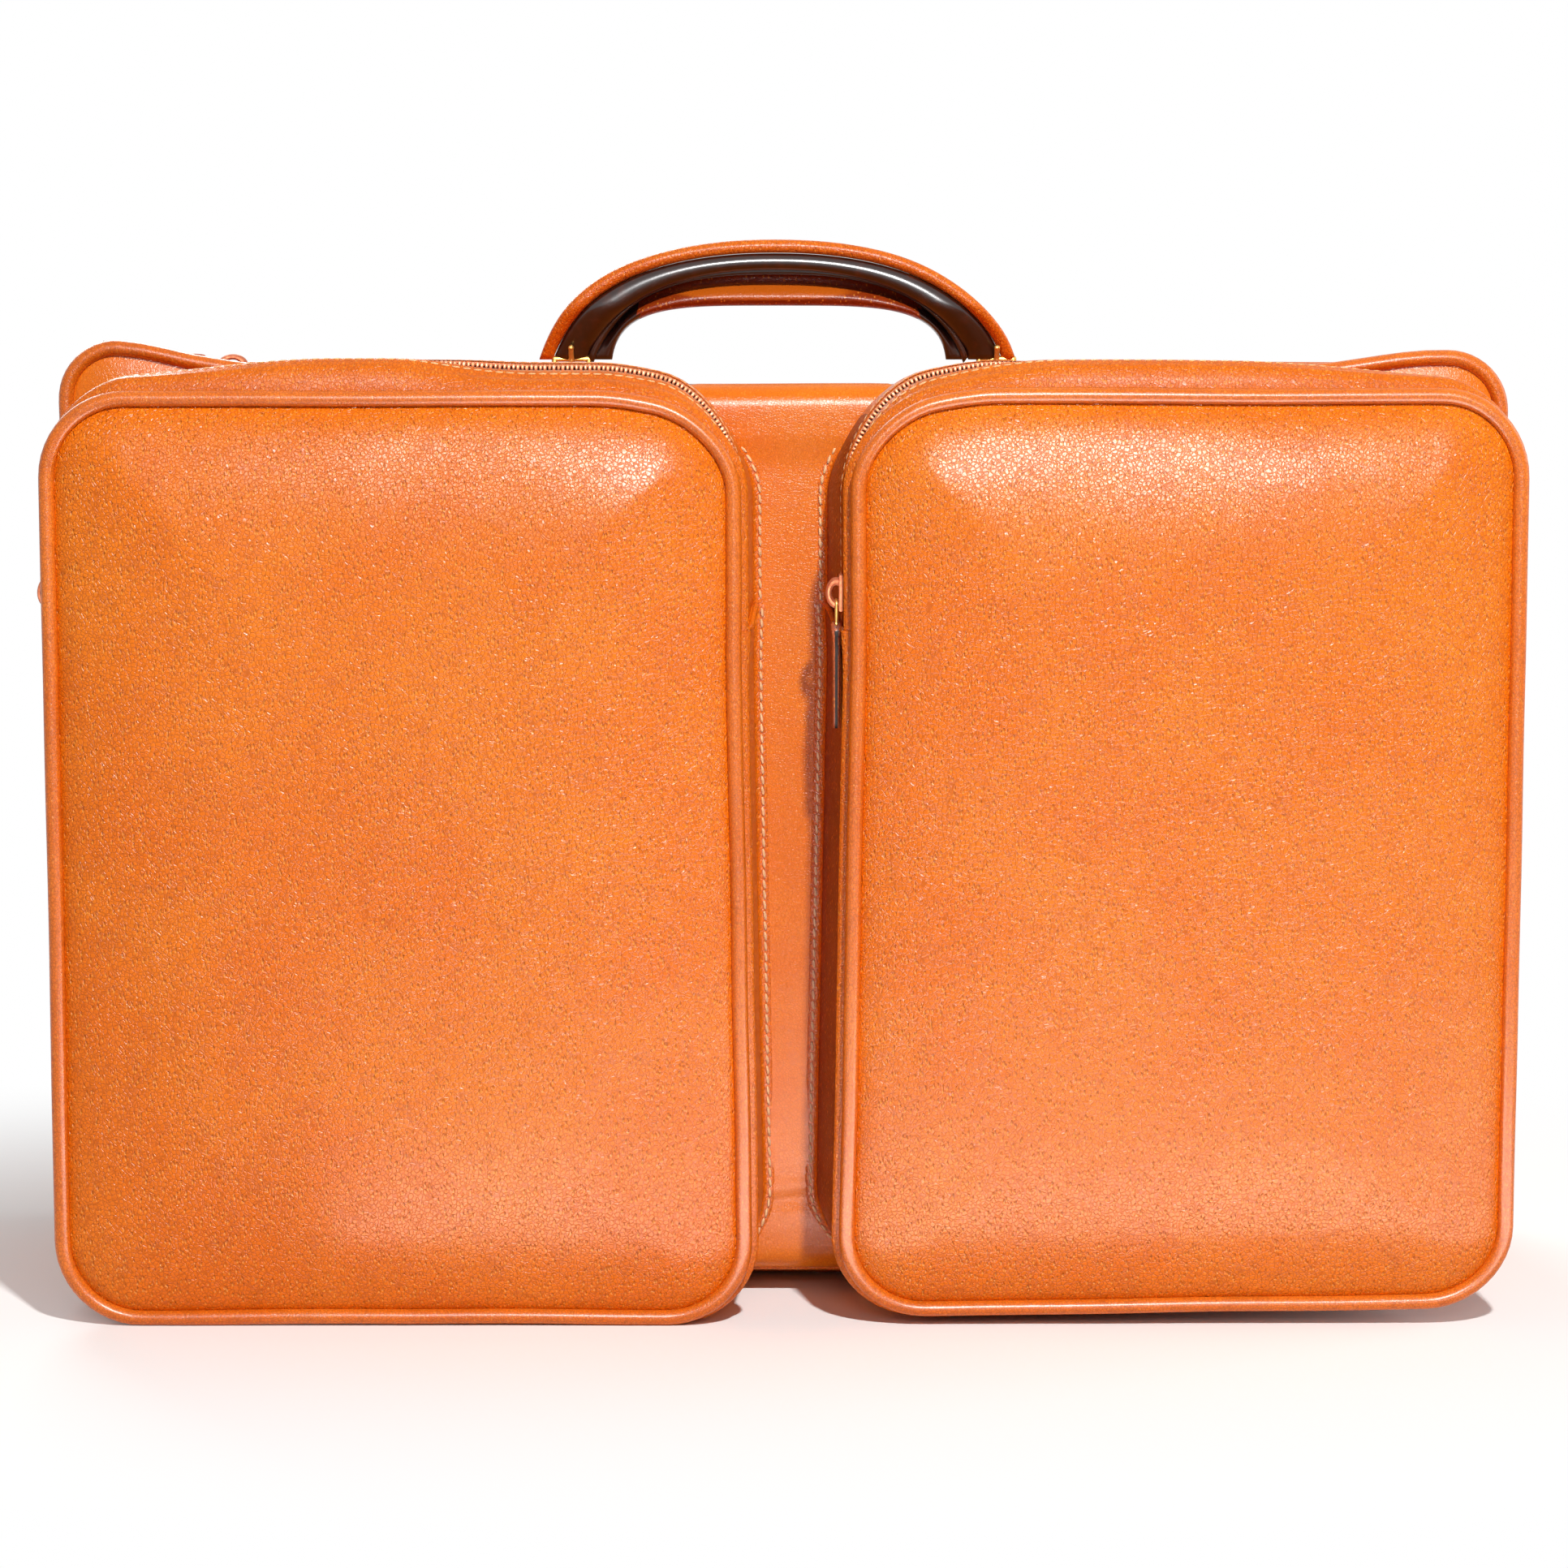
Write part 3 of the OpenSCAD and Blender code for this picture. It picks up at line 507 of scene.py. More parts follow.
# %% [markdown]
# ## One stitch and one tooth
# Both repeat hundreds of times, so each is modelled once with few faces. A stitch is a short length
# of thread that dives into the leather at both ends: a flattened ball. Saddle stitches lie at a
# slant, which is why it is turned a little. A tooth is a stamped block with its edges rounded.

# %% Stitch and tooth
STITCH_PITCH = 4.1 * MM
TOOTH_PITCH = 1.7 * MM
bpy.ops.object.select_all(action="DESELECT")
bpy.ops.mesh.primitive_uv_sphere_add(segments=6, ring_count=5, radius=0.5, rotation=(0, math.pi / 2, 0))
stitch = bpy.context.object
bpy.ops.object.transform_apply(location=True, rotation=True, scale=True)
bpy.ops.object.mode_set(mode="EDIT")
bpy.ops.mesh.select_all(action="SELECT")
bpy.ops.transform.resize(value=(3.7 * MM, 1.25 * MM, 0.9 * MM))
bpy.ops.transform.rotate(value=math.radians(-9), orient_axis="Z", center_override=(0, 0, 0))
bpy.ops.object.mode_set(mode="OBJECT")

bpy.ops.object.select_all(action="DESELECT")
bpy.ops.mesh.primitive_cube_add(size=1)
tooth = bpy.context.object
bpy.ops.object.mode_set(mode="EDIT")
bpy.ops.mesh.select_all(action="SELECT")
bpy.ops.transform.resize(value=(1.25 * MM, 3.2 * MM, 2.2 * MM))
bpy.ops.mesh.bevel(offset=0.35 * MM, segments=1, affect="EDGES")
bpy.ops.object.mode_set(mode="OBJECT")
print("stitch faces", len(stitch.data.polygons), "tooth faces", len(tooth.data.polygons))

# %% [markdown]
# ## How the soft case has settled
# Leather doesn't keep the drawing's straight lines. The top front corners of the case stand 8 mm
# higher, the top has sunk by several millimetres between the pockets, and the bottom edge arches
# up there. One function moves every point of the case the same way, so that all its seams still
# meet. The zip, the handle's staples and the sliders stay where the frame has them.

# %% Settled shapes
CASE = (-0.280, 0.280, 0.0, 0.364, 0.024)
SKIN = (-0.2785, 0.2785, 0.0, 0.3625, 0.0225)
FRONT_RING, BACK_RING = -0.072, 0.072
FACE_Y, BACK_Y = -0.0735, 0.0735
ZIP_Y, ZIP_END = -0.031, 0.034
HALF_ZIP = 0.0032


def settled(points):
    """Points of the case, moved to where the soft leather has settled."""
    p = np.array(points, float).reshape(-1, 3)
    x, y, z = p[:, 0].copy(), p[:, 1], p[:, 2].copy()
    middle = np.abs(x - 0.002)
    front = smooth(0.026, 0.070, -y)
    high = smooth(0.27, 0.35, z)
    sunk = (1 - smooth(0.044, 0.083, middle)) * (-0.0093 + 0.0043 * front)
    raised = (front * 0.002 * smooth(0.05, 0.09, middle) + smooth(0.038, 0.070, -y)
              * (0.006 * smooth(0.192, 0.25, middle) + 0.0042 * smooth(0.225, 0.262, -x)))
    arch = 0.009 * (1 - smooth(0.015, 0.10, middle)) * (1 - smooth(0.0, 0.07, z)) * smooth(0.034, 0.066, -y)
    p[:, 0] -= 0.0010 * front * smooth(0.325, 0.360, z) * smooth(0.235, 0.272, -x)
    p[:, 2] += high * (sunk + raised) + arch
    p[:, 0] += ripple(p, 0.07, 0.0006, 3)
    p[:, 2] = np.maximum(p[:, 2] + ripple(p, 0.06, 0.0005, 11), 0.0)
    return p.reshape(np.shape(points))


def ring_rows(o, section, part="whole", z=0.0, shape=None, **cuts):
    """Rows of points along an outline, one for each (y, outwards) of the section."""
    places, normals = along(o, part, z, **cuts)
    rows = []
    for y, out in section:
        spot = places + normals * out
        rows.append(np.stack([spot[:, 0], np.full(len(spot), y), spot[:, 1]], axis=1))
    rows = np.array(rows)
    return shape(rows) if shape else rows


def tube_rows(o, y, radius, part="whole", z=0.0, shape=None, sides=14, **cuts):
    """Rows of points round a tube that lies along an outline."""
    turns = np.linspace(0, 2 * math.pi, steps(sides) + 1)
    section = [(y + radius * math.sin(a), -radius + radius * math.cos(a)) for a in turns]
    return ring_rows(o, section, part, z, shape, **cuts)


def panel_rows(o, depth, across=70, up=56, shape=None, flip=False):
    """Rows of a panel inside an outline; depth gives y from the distance to the edge and the place."""
    left, right, bottom, top, r = o
    a, b = (right - left) / 2, (top - bottom) / 2
    cx, cz = (left + right) / 2, (bottom + top) / 2
    ease = lambda n: np.sin(np.linspace(-1, 1, n) * math.pi / 2 * 0.82) / math.sin(math.pi / 2 * 0.82)
    u, v = np.meshgrid(ease(steps(across) + 1), ease(steps(up) + 1))
    k = np.maximum(np.maximum(np.abs(u), np.abs(v)), 1e-9)
    x, z = u * a, v * b
    aa, bb, rr = k * a, k * b, np.minimum(r, min(a, b)) * k ** 3
    dx, dz = np.abs(x) - (aa - rr), np.abs(z) - (bb - rr)
    on_side = np.abs(u) >= np.abs(v)
    t = np.where(on_side, dz, dx) / np.maximum(rr, 1e-9)
    turn = np.where(on_side, 45 * t, 90 - 45 * t) * math.pi / 180
    near = t > 0
    nx = np.where(near, aa - rr + rr * np.cos(turn), np.abs(x)) * np.sign(u)
    nz = np.where(near, bb - rr + rr * np.sin(turn), np.abs(z)) * np.sign(v)
    qx, qz = a - np.abs(nx), b - np.abs(nz)
    inner = np.hypot(np.maximum(r - qx, 0), np.maximum(r - qz, 0))
    edge = np.where((qx < r) & (qz < r), r - inner, np.minimum(qx, qz))
    y = depth(np.maximum(edge, 0), nx + cx, nz + cz)
    rows = np.stack([nx + cx, y, nz + cz], axis=2)
    if flip:
        rows = rows[:, ::-1]
    return shape(rows) if shape else rows


def dress(obj, body, slot, *nodes):
    """The piece rides on a body and stands for CAD nodes, which are hidden; slot is not used."""
    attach(obj, body)
    if nodes:
        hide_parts(*nodes)
    return obj


# %% [markdown]
# ## The case: bands, panels and piping
# The sides and top of the case are one band of leather on each side of the zip, folded over at the
# zip and rolled where it meets the piping. The front and back are plain panels, crowned by a
# millimetre or two because the boards behind them have rounded edges. The piping is a strip of thin
# leather wrapped round a cord and caught in the seam: a tube whose inner half is hidden.

# %% Bands, zip tapes and base of the case
def bead(seam, sign):
    """The soft roll beside a seam, as (y, outwards); sign is the way from the seam into the band."""
    return [(seam - sign * 0.0006, -0.0016), (seam + sign * 0.0001, -0.0002), (seam + sign * 0.0012, 0.0008),
            (seam + sign * 0.0028, 0.0011), (seam + sign * 0.0044, 0.0007), (seam + sign * 0.0058, 0.0)]


def flat(y0, y1, count):
    """The even part of a band between two depths."""
    return [(y, 0.0) for y in np.linspace(y0, y1, steps(count) + 1)[1:]]


def turned(edge, sign):
    """The edge that is folded under beside a zip; sign is the way from the band to the zip."""
    return [(edge - sign * 0.0018, 0.0001), (edge - sign * 0.0007, 0.0001),
            (edge - sign * 0.0001, -0.0004), (edge, -0.0010)]


tray_section = bead(0.0689, -1) + flat(0.0631, ZIP_Y + HALF_ZIP + 0.003, 16) + turned(ZIP_Y + HALF_ZIP, -1)
lid_section = bead(-0.0689, 1) + flat(-0.0631, ZIP_Y - HALF_ZIP - 0.003, 6) + turned(ZIP_Y - HALF_ZIP, 1)
tray_band = laid("tray_band", ring_rows(SKIN, tray_section, "upper", ZIP_END, settled, end=60), side_leather)
dress(thick(tray_band, 0.0018, flesh_side), "case", "tan_leather", "tray_gusset")
lid_band = laid("lid_band", ring_rows(SKIN, lid_section[::-1], "upper", ZIP_END, settled, end=60), side_leather)
dress(thick(lid_band, 0.0018, flesh_side), "lid", "tan_leather", "lid_gusset")

base_section = [(y, 0.0 if abs(y) < 0.066 else 0.0004) for y in np.linspace(0.0689, -0.0689, steps(40) + 1)]
base = laid("base_leather", ring_rows(SKIN, base_section, "lower", ZIP_END, settled, side=8, end=60), side_leather)
thick(base, 0.0018, flesh_side)
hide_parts("tray_base", "lid_base")
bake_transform(base)
print("case bands", len(tray_band.data.polygons), len(lid_band.data.polygons), len(base.data.polygons))


# %% Panels and piping of the case
def case_front_depth(edge, x, z):
    """The front panel: soft, with a few creases low down between the pockets."""
    y = FACE_Y + 0.0012 - 0.0026 * (1 - np.exp(-edge / 0.008))
    crease = np.exp(-((z - 0.034 - 0.15 * (x - 0.01)) / 0.0035) ** 2) + 0.7 * np.exp(-((z - 0.046) / 0.003) ** 2)
    return y + 0.0008 * crease * np.exp(-((x - 0.008) / 0.02) ** 2)


def rolled_front(points):
    """Between the pockets the front is drawn over the top and bottom edges and hides the piping there."""
    p = np.array(points, float).reshape(-1, 3)
    across = 1 - smooth(0.036, 0.060, np.abs(p[:, 0] - 0.002))
    for start, upward, proud, high in ((0.345, 1, 0.0098, 0.0080), (0.019, -1, 0.0086, 0.0073)):
        past = upward * (p[:, 2] - start)
        share = across * smooth(-0.015, 0.0, past)
        way = np.clip(past / 0.0138, 0, 1) * 0.0250
        turn = np.clip((way - 0.0112) / 0.0138, 0, 1) * math.pi / 2
        p[:, 1] += share * (-0.0665 - proud * np.cos(turn) - p[:, 1])
        p[:, 2] += share * upward * np.where(way > 0, np.minimum(way, 0.0112) + high * np.sin(turn) - past, 0)
    return settled(p.reshape(np.shape(points)))


def hidden_piping(points):
    """The piping is squeezed thin where the front is drawn over it."""
    p = np.array(points, float).reshape(-1, 3)
    across = 1 - smooth(0.044, 0.066, np.abs(p[:, 0] - 0.002))
    for middle, share in ((0.361, across * smooth(0.340, 0.350, p[:, 2])),
                          (0.003, across * smooth(-0.024, -0.014, -p[:, 2]))):
        p[:, 1] += 0.7 * share * (FRONT_RING + 0.001 - p[:, 1])
        p[:, 2] += 0.7 * share * (middle - p[:, 2])
    return settled(p.reshape(np.shape(points)))


def case_back_depth(edge, x, z):
    """The back panel, crowned a little."""
    return BACK_Y - 0.0012 + 0.0022 * (1 - np.exp(-edge / 0.012))


front_sheet = laid("case_front", panel_rows(taken_in(CASE, 0.0052), case_front_depth, 110, 100, rolled_front), smooth_leather)
dress(thick(front_sheet, 0.0018, flesh_side), "lid", "tan_leather", "front_panel")
back_sheet = laid("case_back", panel_rows(taken_in(CASE, 0.0052), case_back_depth, 90, 60, settled, flip=True), side_leather)
dress(thick(back_sheet, 0.0018, flesh_side), "case", "tan_leather", "back_panel")
for name, y, body, node, shape in (("case_front_piping", FRONT_RING, "lid", "front_piping", hidden_piping),
                                   ("case_back_piping", BACK_RING, "case", "back_piping", settled)):
    welt = laid(name, tube_rows(CASE, y, 0.003, shape=shape, side=30, end=60), piping_leather, weld=True)
    dress(welt, body, "piping_leather", node)
print("case front faces", len(front_sheet.data.polygons))


# %% [markdown]
# ## Zips
# A zip is two rows of brass teeth clamped to the edges of two woven tapes. The teeth of one row sit
# in the gaps of the other, so along the closed zip there is a tooth every 1.7 mm, from alternate
# sides. The rows belong to different bodies and part when the lid or a pocket is opened.

# %% Zip rows
def zip_row(name, path_rows, outs, toward, start):
    """Teeth for one side. path_rows are the zip's middle line; toward is the row's own side in y."""
    line = path_rows.copy()
    line[:, 1] += toward * 0.8 * MM
    line -= outs * 0.7 * MM
    return copies(name, tooth, spaced(line, outs, 2 * TOOTH_PITCH, start), tooth_brass)


def outs_of(normals):
    """Outward directions in 3-D from normals in X and Z."""
    return np.stack([normals[:, 0], np.zeros(len(normals)), normals[:, 1]], axis=1)


def stitch_row(name, points, outs, lift=0.0002, pitch=STITCH_PITCH):
    """A row of stitches on a surface."""
    return copies(name, stitch, spaced(points + outs * lift, outs, pitch, pitch / 2), thread)


normals_3d = outs_of(along(SKIN, "upper", ZIP_END + 0.001, end=60)[1])
zip_line = ring_rows(SKIN, [(ZIP_Y, 0)], "upper", ZIP_END + 0.001, settled, end=60)[0]
for body, node, toward, start in (("case", "main_zip_rear", 1, 0.0), ("lid", "main_zip_front", -1, TOOTH_PITCH)):
    teeth = zip_row(node + "_teeth", zip_line, normals_3d, toward, start)
    dress(teeth, body, "zip", node)
    section = [(ZIP_Y + toward * (2.0 + 0.6 * i) * MM, -0.0006) for i in range(5)]
    rows = ring_rows(SKIN, section[::-1] if toward > 0 else section, "upper", ZIP_END, settled, end=60)
    tape = laid(node + "_tape", rows, zip_tape)
    dress(thick(tape, 0.0006, rim=0), body, "zip")
    seam = ring_rows(SKIN, [(ZIP_Y + toward * (HALF_ZIP + 2.2 * MM), 0)], "upper", ZIP_END + 0.002, settled, end=60)[0]
    dress(stitch_row(node + "_stitches", seam, normals_3d), body, "tan_leather")
print("main zip teeth", 2 * len(spaced(zip_line, normals_3d, 2 * TOOTH_PITCH)))

# %% [markdown]
# ## The pockets
# Each pocket is a box: a crowned front, a piping, and a side wall that leans in towards the case,
# where its edge is turned out and sewn down. Stuffed pockets bulge at the top, between the piping
# and the case. The upper part opens along a zip, and on the real bag the front then folds over at
# the height of the zip's ends; here the front and the piping are each made as one piece.

# %% Pocket shapes
POCKETS = {
    "left": {"ring": (-0.280, -0.016, 0.0, 0.358, 0.033), "base": (-0.2688, -0.0120), "inner": 1,
             "shown": 0.075, "fuller": 0.0010},
    "right": {"ring": (0.025, 0.280, 0.0, 0.358, 0.033), "base": (0.0165, 0.2688), "inner": -1,
              "shown": 0.022, "fuller": -0.0010},
}
BASE_BOTTOM, BASE_TOP = 0.0112, 0.3528
POCKET_RING, MOUTH_Y, POCKET_ZIP = -0.1225, -0.1194, -0.1075
POCKET_END = 0.267
TOP_BULGE = 0.013


def leaned(side):
    """How this pocket's points move: its inner edge leans inwards low down, and it is a bit uneven."""
    pocket = POCKETS[side]
    left, right = pocket["ring"][:2]

    def shape(points):
        p = np.array(points, float).reshape(-1, 3)
        share = (p[:, 0] - left) / (right - left)
        share = share if pocket["inner"] > 0 else 1 - share
        low = np.clip(1 - p[:, 2] / 0.262, 0, 1)
        drop = 0.0075 * (1 - smooth(0.0, 0.056, (1 - share) * (right - left))) * smooth(0.285, 0.350, p[:, 2])
        p[:, 0] += pocket["inner"] * 0.0045 * low * np.clip(share, 0, 1)
        if side == "right":
            p[:, 2] += 0.0010 * smooth(0.30, 0.36, p[:, 2])
            p[:, 2] += (0.0066 - 0.0038 * share) * (1 - smooth(0.0, 0.12, p[:, 2]))
        p[:, 2] -= drop
        p += np.stack([ripple(p, 0.06, 0.0003, 5), ripple(p, 0.05, 0.0004, 9), ripple(p, 0.07, 0.0007, 2)], axis=1)
        p[:, 2] = np.maximum(p[:, 2], 0.0)
        return p.reshape(np.shape(points))

    return shape


def wall_rows(side, section, part, z, sunk=0.0):
    """Rows of a pocket's side wall for each (y, outwards) of the section.

    Away from the inner corner the top is fullest at its front edge, which hides the zip from the
    front; there the zip's own parts are sunk as well.
    """
    pocket = POCKETS[side]
    left, right, bottom, top, r = taken_in(pocket["ring"], 0.0015)
    corner = right if pocket["inner"] > 0 else left
    b_left, b_right = pocket["base"]
    rows = []
    for y, out in section:
        t = (y - FACE_Y) / (MOUTH_Y - FACE_Y)
        o = (b_left + (left - b_left) * t, b_right + (right - b_right) * t,
             BASE_BOTTOM + (bottom - BASE_BOTTOM) * t, BASE_TOP + (top - BASE_TOP) * t, 0.033 - 0.0015 * t)
        places, normals = along(o, part, z, side=26, end=44)
        full = 1 - abs(np.clip(2 * t - 1, -1, 1)) ** 2.5
        span = np.abs(places[:, 0] - corner)
        far = smooth(pocket["shown"], pocket["shown"] + 0.060, span)
        far = far * np.clip(normals[:, 1], 0, 1)
        peak = 0.5 + 0.32 * far
        before = np.where(t > peak, (t - peak) / (1 - peak), (peak - t) / peak)
        top_full = 1 - np.clip(before, 0, 1) ** 2.5
        out = out - sunk * far[:, None]
        seen = np.clip(normals[:, :1] * pocket["inner"], 0, 1) + 0.6 * np.clip(-normals[:, 1:], 0, 1)
        out = out + 0.0019 * seen * math.exp(-((y + 0.1176) / 0.0014) ** 2)
        folded = smooth(0.252, 0.2655, places[:, 1:]) if part == "lower" else 0.0
        spot = places + normals * (out + 0.0012 * full * (1 - np.abs(normals[:, 1:])) + 0.0009 * folded)
        swell = (TOP_BULGE + pocket["fuller"] * far) * (1 - 0.5 * smooth(right - left - 0.110, right - left - 0.015, span))
        spot[:, 1] += swell * top_full * np.clip(normals[:, 1], 0, 1)
        if part == "lower":
            spot[:, 1] += 0.007 * smooth(0.24, 0.267, places[:, 1]) * smooth(-0.106, -0.084, y)
        rows.append(np.stack([spot[:, 0], np.full(len(spot), y), spot[:, 1]], axis=1))
    return leaned(side)(np.array(rows)), outs_of(normals)


def crowned(seed):
    """Depth of a pocket's front: a quick roll inside the piping, and then a long gentle crown."""

    def depth(edge, x, z):
        gentle = 1 - (1 - np.clip(edge / 0.080, 0, 1)) ** 2.6
        y = POCKET_RING + 0.0012 - 0.0030 * (1 - np.exp(-edge / 0.0035)) - 0.0108 * gentle
        flatness = np.clip(edge / 0.03, 0, 1)
        shapes = np.array([noise.noise(Vector((a / 0.085 + seed, b / 0.11, seed))) for a, b in
                           zip(np.ravel(x), np.ravel(z))]).reshape(np.shape(x))
        small = np.array([noise.noise(Vector((a / 0.024, b / 0.03 + seed, 4.0))) for a, b in
                          zip(np.ravel(x), np.ravel(z))]).reshape(np.shape(x))
        return y + flatness * (0.0011 * shapes + 0.00016 * small)

    return depth


# %% Pocket fronts and piping
for side, pocket in POCKETS.items():
    shape = leaned(side)
    rows = panel_rows(taken_in(pocket["ring"], 0.0048), crowned(3.0 if side == "left" else 8.5), 84, 110, shape)
    front = laid(f"{side}_pocket_front", rows, front_leather)
    thick(front, 0.0018, flesh_side)
    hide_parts(f"{side}_lower_front", f"{side}_upper_front")
    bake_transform(front)
    rows = tube_rows(pocket["ring"], POCKET_RING, 0.003, shape=shape, side=50, end=50)
    welt = laid(f"{side}_pocket_piping", rows, piping_leather, weld=True)
    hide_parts(f"{side}_lower_piping", f"{side}_upper_piping")
    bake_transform(welt)
    print(side, "front faces", len(front.data.polygons), "piping faces", len(welt.data.polygons))

# %% Pocket walls
flange = [(-0.0749, 0.0045), (-0.0752, 0.0032), (-0.0753, 0.0018), (-0.0756, 0.0008), (-0.0765, 0.0001)]
rear_wall = flange + flat(-0.0765, POCKET_ZIP + HALF_ZIP + 0.0014, 10) + turned(POCKET_ZIP + HALF_ZIP, -1)
front_wall = turned(POCKET_ZIP - HALF_ZIP, 1)[::-1] + [
    (-0.1140, 0.0), (-0.1148, 0.0001), (-0.1155, 0.0006), (-0.1164, 0.0013), (-0.1174, 0.0016),
    (-0.1184, 0.0013), (-0.1193, 0.0004), (-0.1202, -0.0010), (-0.1212, -0.0020)]
lower_wall = flange + flat(-0.0765, -0.1146, 14) + front_wall[-7:]
for side in POCKETS:
    for label, section, part, z, body, node in (
            ("rear_wall", rear_wall, "upper", POCKET_END, "lid", "rear_gusset"),
            ("mouth_wall", front_wall, "upper", POCKET_END, f"{side}_mouth", "mouth_gusset"),
            ("lower_wall", lower_wall, "lower", POCKET_END, "lid", "lower_gusset")):
        rows, outs = wall_rows(side, section, part, z)
        wall = laid(f"{side}_{label}", rows, side_leather)
        # The right pocket's wall that faces into the gap gets the darker leather, as painted shade.
        if side == "right":
            wall.data.materials.append(painted_shade_gap_leather)
            for face in wall.data.polygons:
                face.material_index = int(face.normal.x < -0.8 and face.center.x < 0.06)
        dress(thick(wall, 0.0016, flesh_side), body, "tan_leather", f"{side}_{node}")
    for row_name, toward, body, node, start in (("rear", 1, "lid", "zip_rear", 0.0),
                                                ("front", -1, f"{side}_mouth", "zip_front", TOOTH_PITCH)):
        rows, outs = wall_rows(side, [(POCKET_ZIP, 0)], "upper", POCKET_END + 0.001, 0.0014)
        dress(zip_row(f"{side}_{row_name}_teeth", rows[0], outs, toward, start), body, "zip", f"{side}_{node}")
        section = [(POCKET_ZIP + toward * (2.0 + 0.6 * i) * MM, -0.0006) for i in range(5)]
        rows, outs = wall_rows(side, section[::-1] if toward > 0 else section, "upper", POCKET_END, 0.0014)
        tape = laid(f"{side}_{row_name}_tape", rows, zip_tape)
        dress(thick(tape, 0.0006, rim=0), body, "zip")
        rows, outs = wall_rows(side, [(POCKET_ZIP + toward * (HALF_ZIP + 1.7 * MM), 0)], "upper", POCKET_END + 0.001)
        dress(stitch_row(f"{side}_{row_name}_zip_stitches", rows[0], outs, -0.00015), body, "tan_leather")
    for part in ("upper", "lower"):
        rows, outs = wall_rows(side, [(-0.0753, 0.0027)], part, POCKET_END + (0.009 if part == "upper" else 0.0))
        ahead = np.tile([0.0, -1.0, 0.0], (len(rows[0]), 1))
        dress(stitch_row(f"{side}_{part}_flange_stitches", rows[0], ahead), "lid", "tan_leather")
print("pocket walls done")

# %% Welts at the ends of the pocket zips
# The zip's ends are tucked under the lower wall, whose slanting edge is folded over a cord.
for side in POCKETS:
    rows, outs = wall_rows(side, [(y, 0.0006) for y in np.linspace(-0.0785, -0.1110, 15)], "lower", POCKET_END)
    for label, column in (("outer", 0 if side == "left" else -1), ("inner", -1 if side == "left" else 0)):
        line = rows[:, column]
        ring = [line + 0.0011 * (math.cos(a) * outs[column] + math.sin(a) * np.array([0, 0, 1]))
                for a in np.linspace(0, 2 * math.pi, 13)]
        welt = laid(f"{side}_{label}_zip_end_welt", np.array(ring), side_leather, weld=True)
        dress(welt, "lid", "tan_leather")

# %% [markdown]
# ## The handle
# The handle is built up in layers like the real one: a tan strap over the top, a stack of leather
# under it whose edges are lacquered black, and a padded belly below that fits the hand. All follow
# flattened arches. Each is a closed section carried along its arch, and the sections narrow at the
# feet so that the handle can lean over without touching the top of the case.

# %% Leather of the belly: painted shade, but for a painted sunlit patch in the middle
painted_shade_belly_leather = leather("belly_painted_shade_and_lit_patch", "#8c2e08", "#983a0c", "#6e2204", 1.5, 0.12, 0.34, 0.1)
tree = painted_shade_belly_leather.node_tree
place = add_node(tree, "ShaderNodeTexCoord").outputs["Object"]
from_middle = add_node(tree, "ShaderNodeVectorMath", {"operation": "SUBTRACT"}, {0: place, 1: (-0.0085, 0, 0.3938)})
lit_patch_scale = add_node(tree, "ShaderNodeVectorMath", {"operation": "MULTIPLY"},
                   {0: from_middle.outputs[0], 1: (1 / 0.036, 0, 1 / 0.0036)})
reach = add_node(tree, "ShaderNodeVectorMath", {"operation": "LENGTH"}, {0: lit_patch_scale.outputs[0]})
shader = tree.nodes["Principled BSDF"]
shaded_tone = shader.inputs["Base Color"].links[0].from_socket
# The dark dye of the belly is painted shade under the core, and the lighter patch in its middle is painted sunlight.
tree.links.new(mixed(tree, ranged(tree, reach.outputs["Value"], 0.85, 1.1, 1.0, 0.0), shaded_tone, "#b8560e"),
               shader.inputs["Base Color"])
print("belly leather done")

# %% Handle arches
HANDLE_Y, CENTRE_Z, FOOT_Z = 0.020, 0.3515, 0.3662
ARCHES = {
    "strap_top": (0.101, 0.062, 2.2), "strap_under": (0.09565, 0.05665, 2.2),
    "core_top": (0.0955, 0.0565, 2.2), "core_under": (0.0815, 0.0498, 2.2),
    "slot": (0.0790, 0.0522, 2.2), "belly_under": (0.0695, 0.0360, 3.9),
}


def arch(key, turns):
    """Points (x, z) of an arch for shares 0 to 1 of its way, from its right foot to its left."""
    a, b, power = ARCHES[key]
    low = math.asin(min(1, ((FOOT_Z - CENTRE_Z) / b) ** (power / 2)))
    angle = low + (math.pi - 2 * low) * turns
    c, s = np.cos(angle), np.sin(angle)
    return np.stack([a * np.sign(c) * np.abs(c) ** (2 / power), CENTRE_Z + b * np.abs(s) ** (2 / power)], axis=1)


def handle_piece(name, top, under, width, edge, material, waist=0.0, count=56):
    """A layer between two arches: a flat section with round edges, carried from foot to foot."""
    share = np.linspace(0, 1, steps(count) + 1)
    bend = np.radians(np.linspace(-90, 90, steps(12) + 1))
    run = np.linspace(1, -1, steps(8) + 1)[1:-1]
    section = [(1, math.cos(a), 0.5 + 0.5 * math.sin(a)) for a in bend] + [(f, 0, 1) for f in run]
    section += [(-1, math.cos(a), 0.5 - 0.5 * math.sin(a)) for a in bend] + [(-f, 0, 0) for f in run]
    rows = []
    for f, lean, depth in section + section[:1]:
        line = under(share) + (top(share) - under(share)) * depth
        half = np.clip(0.0019 + 0.6105 * (line[:, 1] - 0.368) * width / 0.027, 0.0012, width / 2)
        half *= 1 - waist * smooth(0.15, 0.75, depth)
        across = f * (half - np.minimum(edge, half) * (1 - lean))
        x = line[:, 0] - 0.0012 - 0.0034 * smooth(0.040, 0.095, line[:, 0]) + 0.0005 * smooth(0.05, 0.1, -line[:, 0])
        raised = smooth(0.372, 0.405, line[:, 1])
        rows.append(np.stack([x - 0.0025 * raised, HANDLE_Y + across, line[:, 1] + 0.0012 * raised], axis=1))
    return laid(name, rows, material, weld=True)


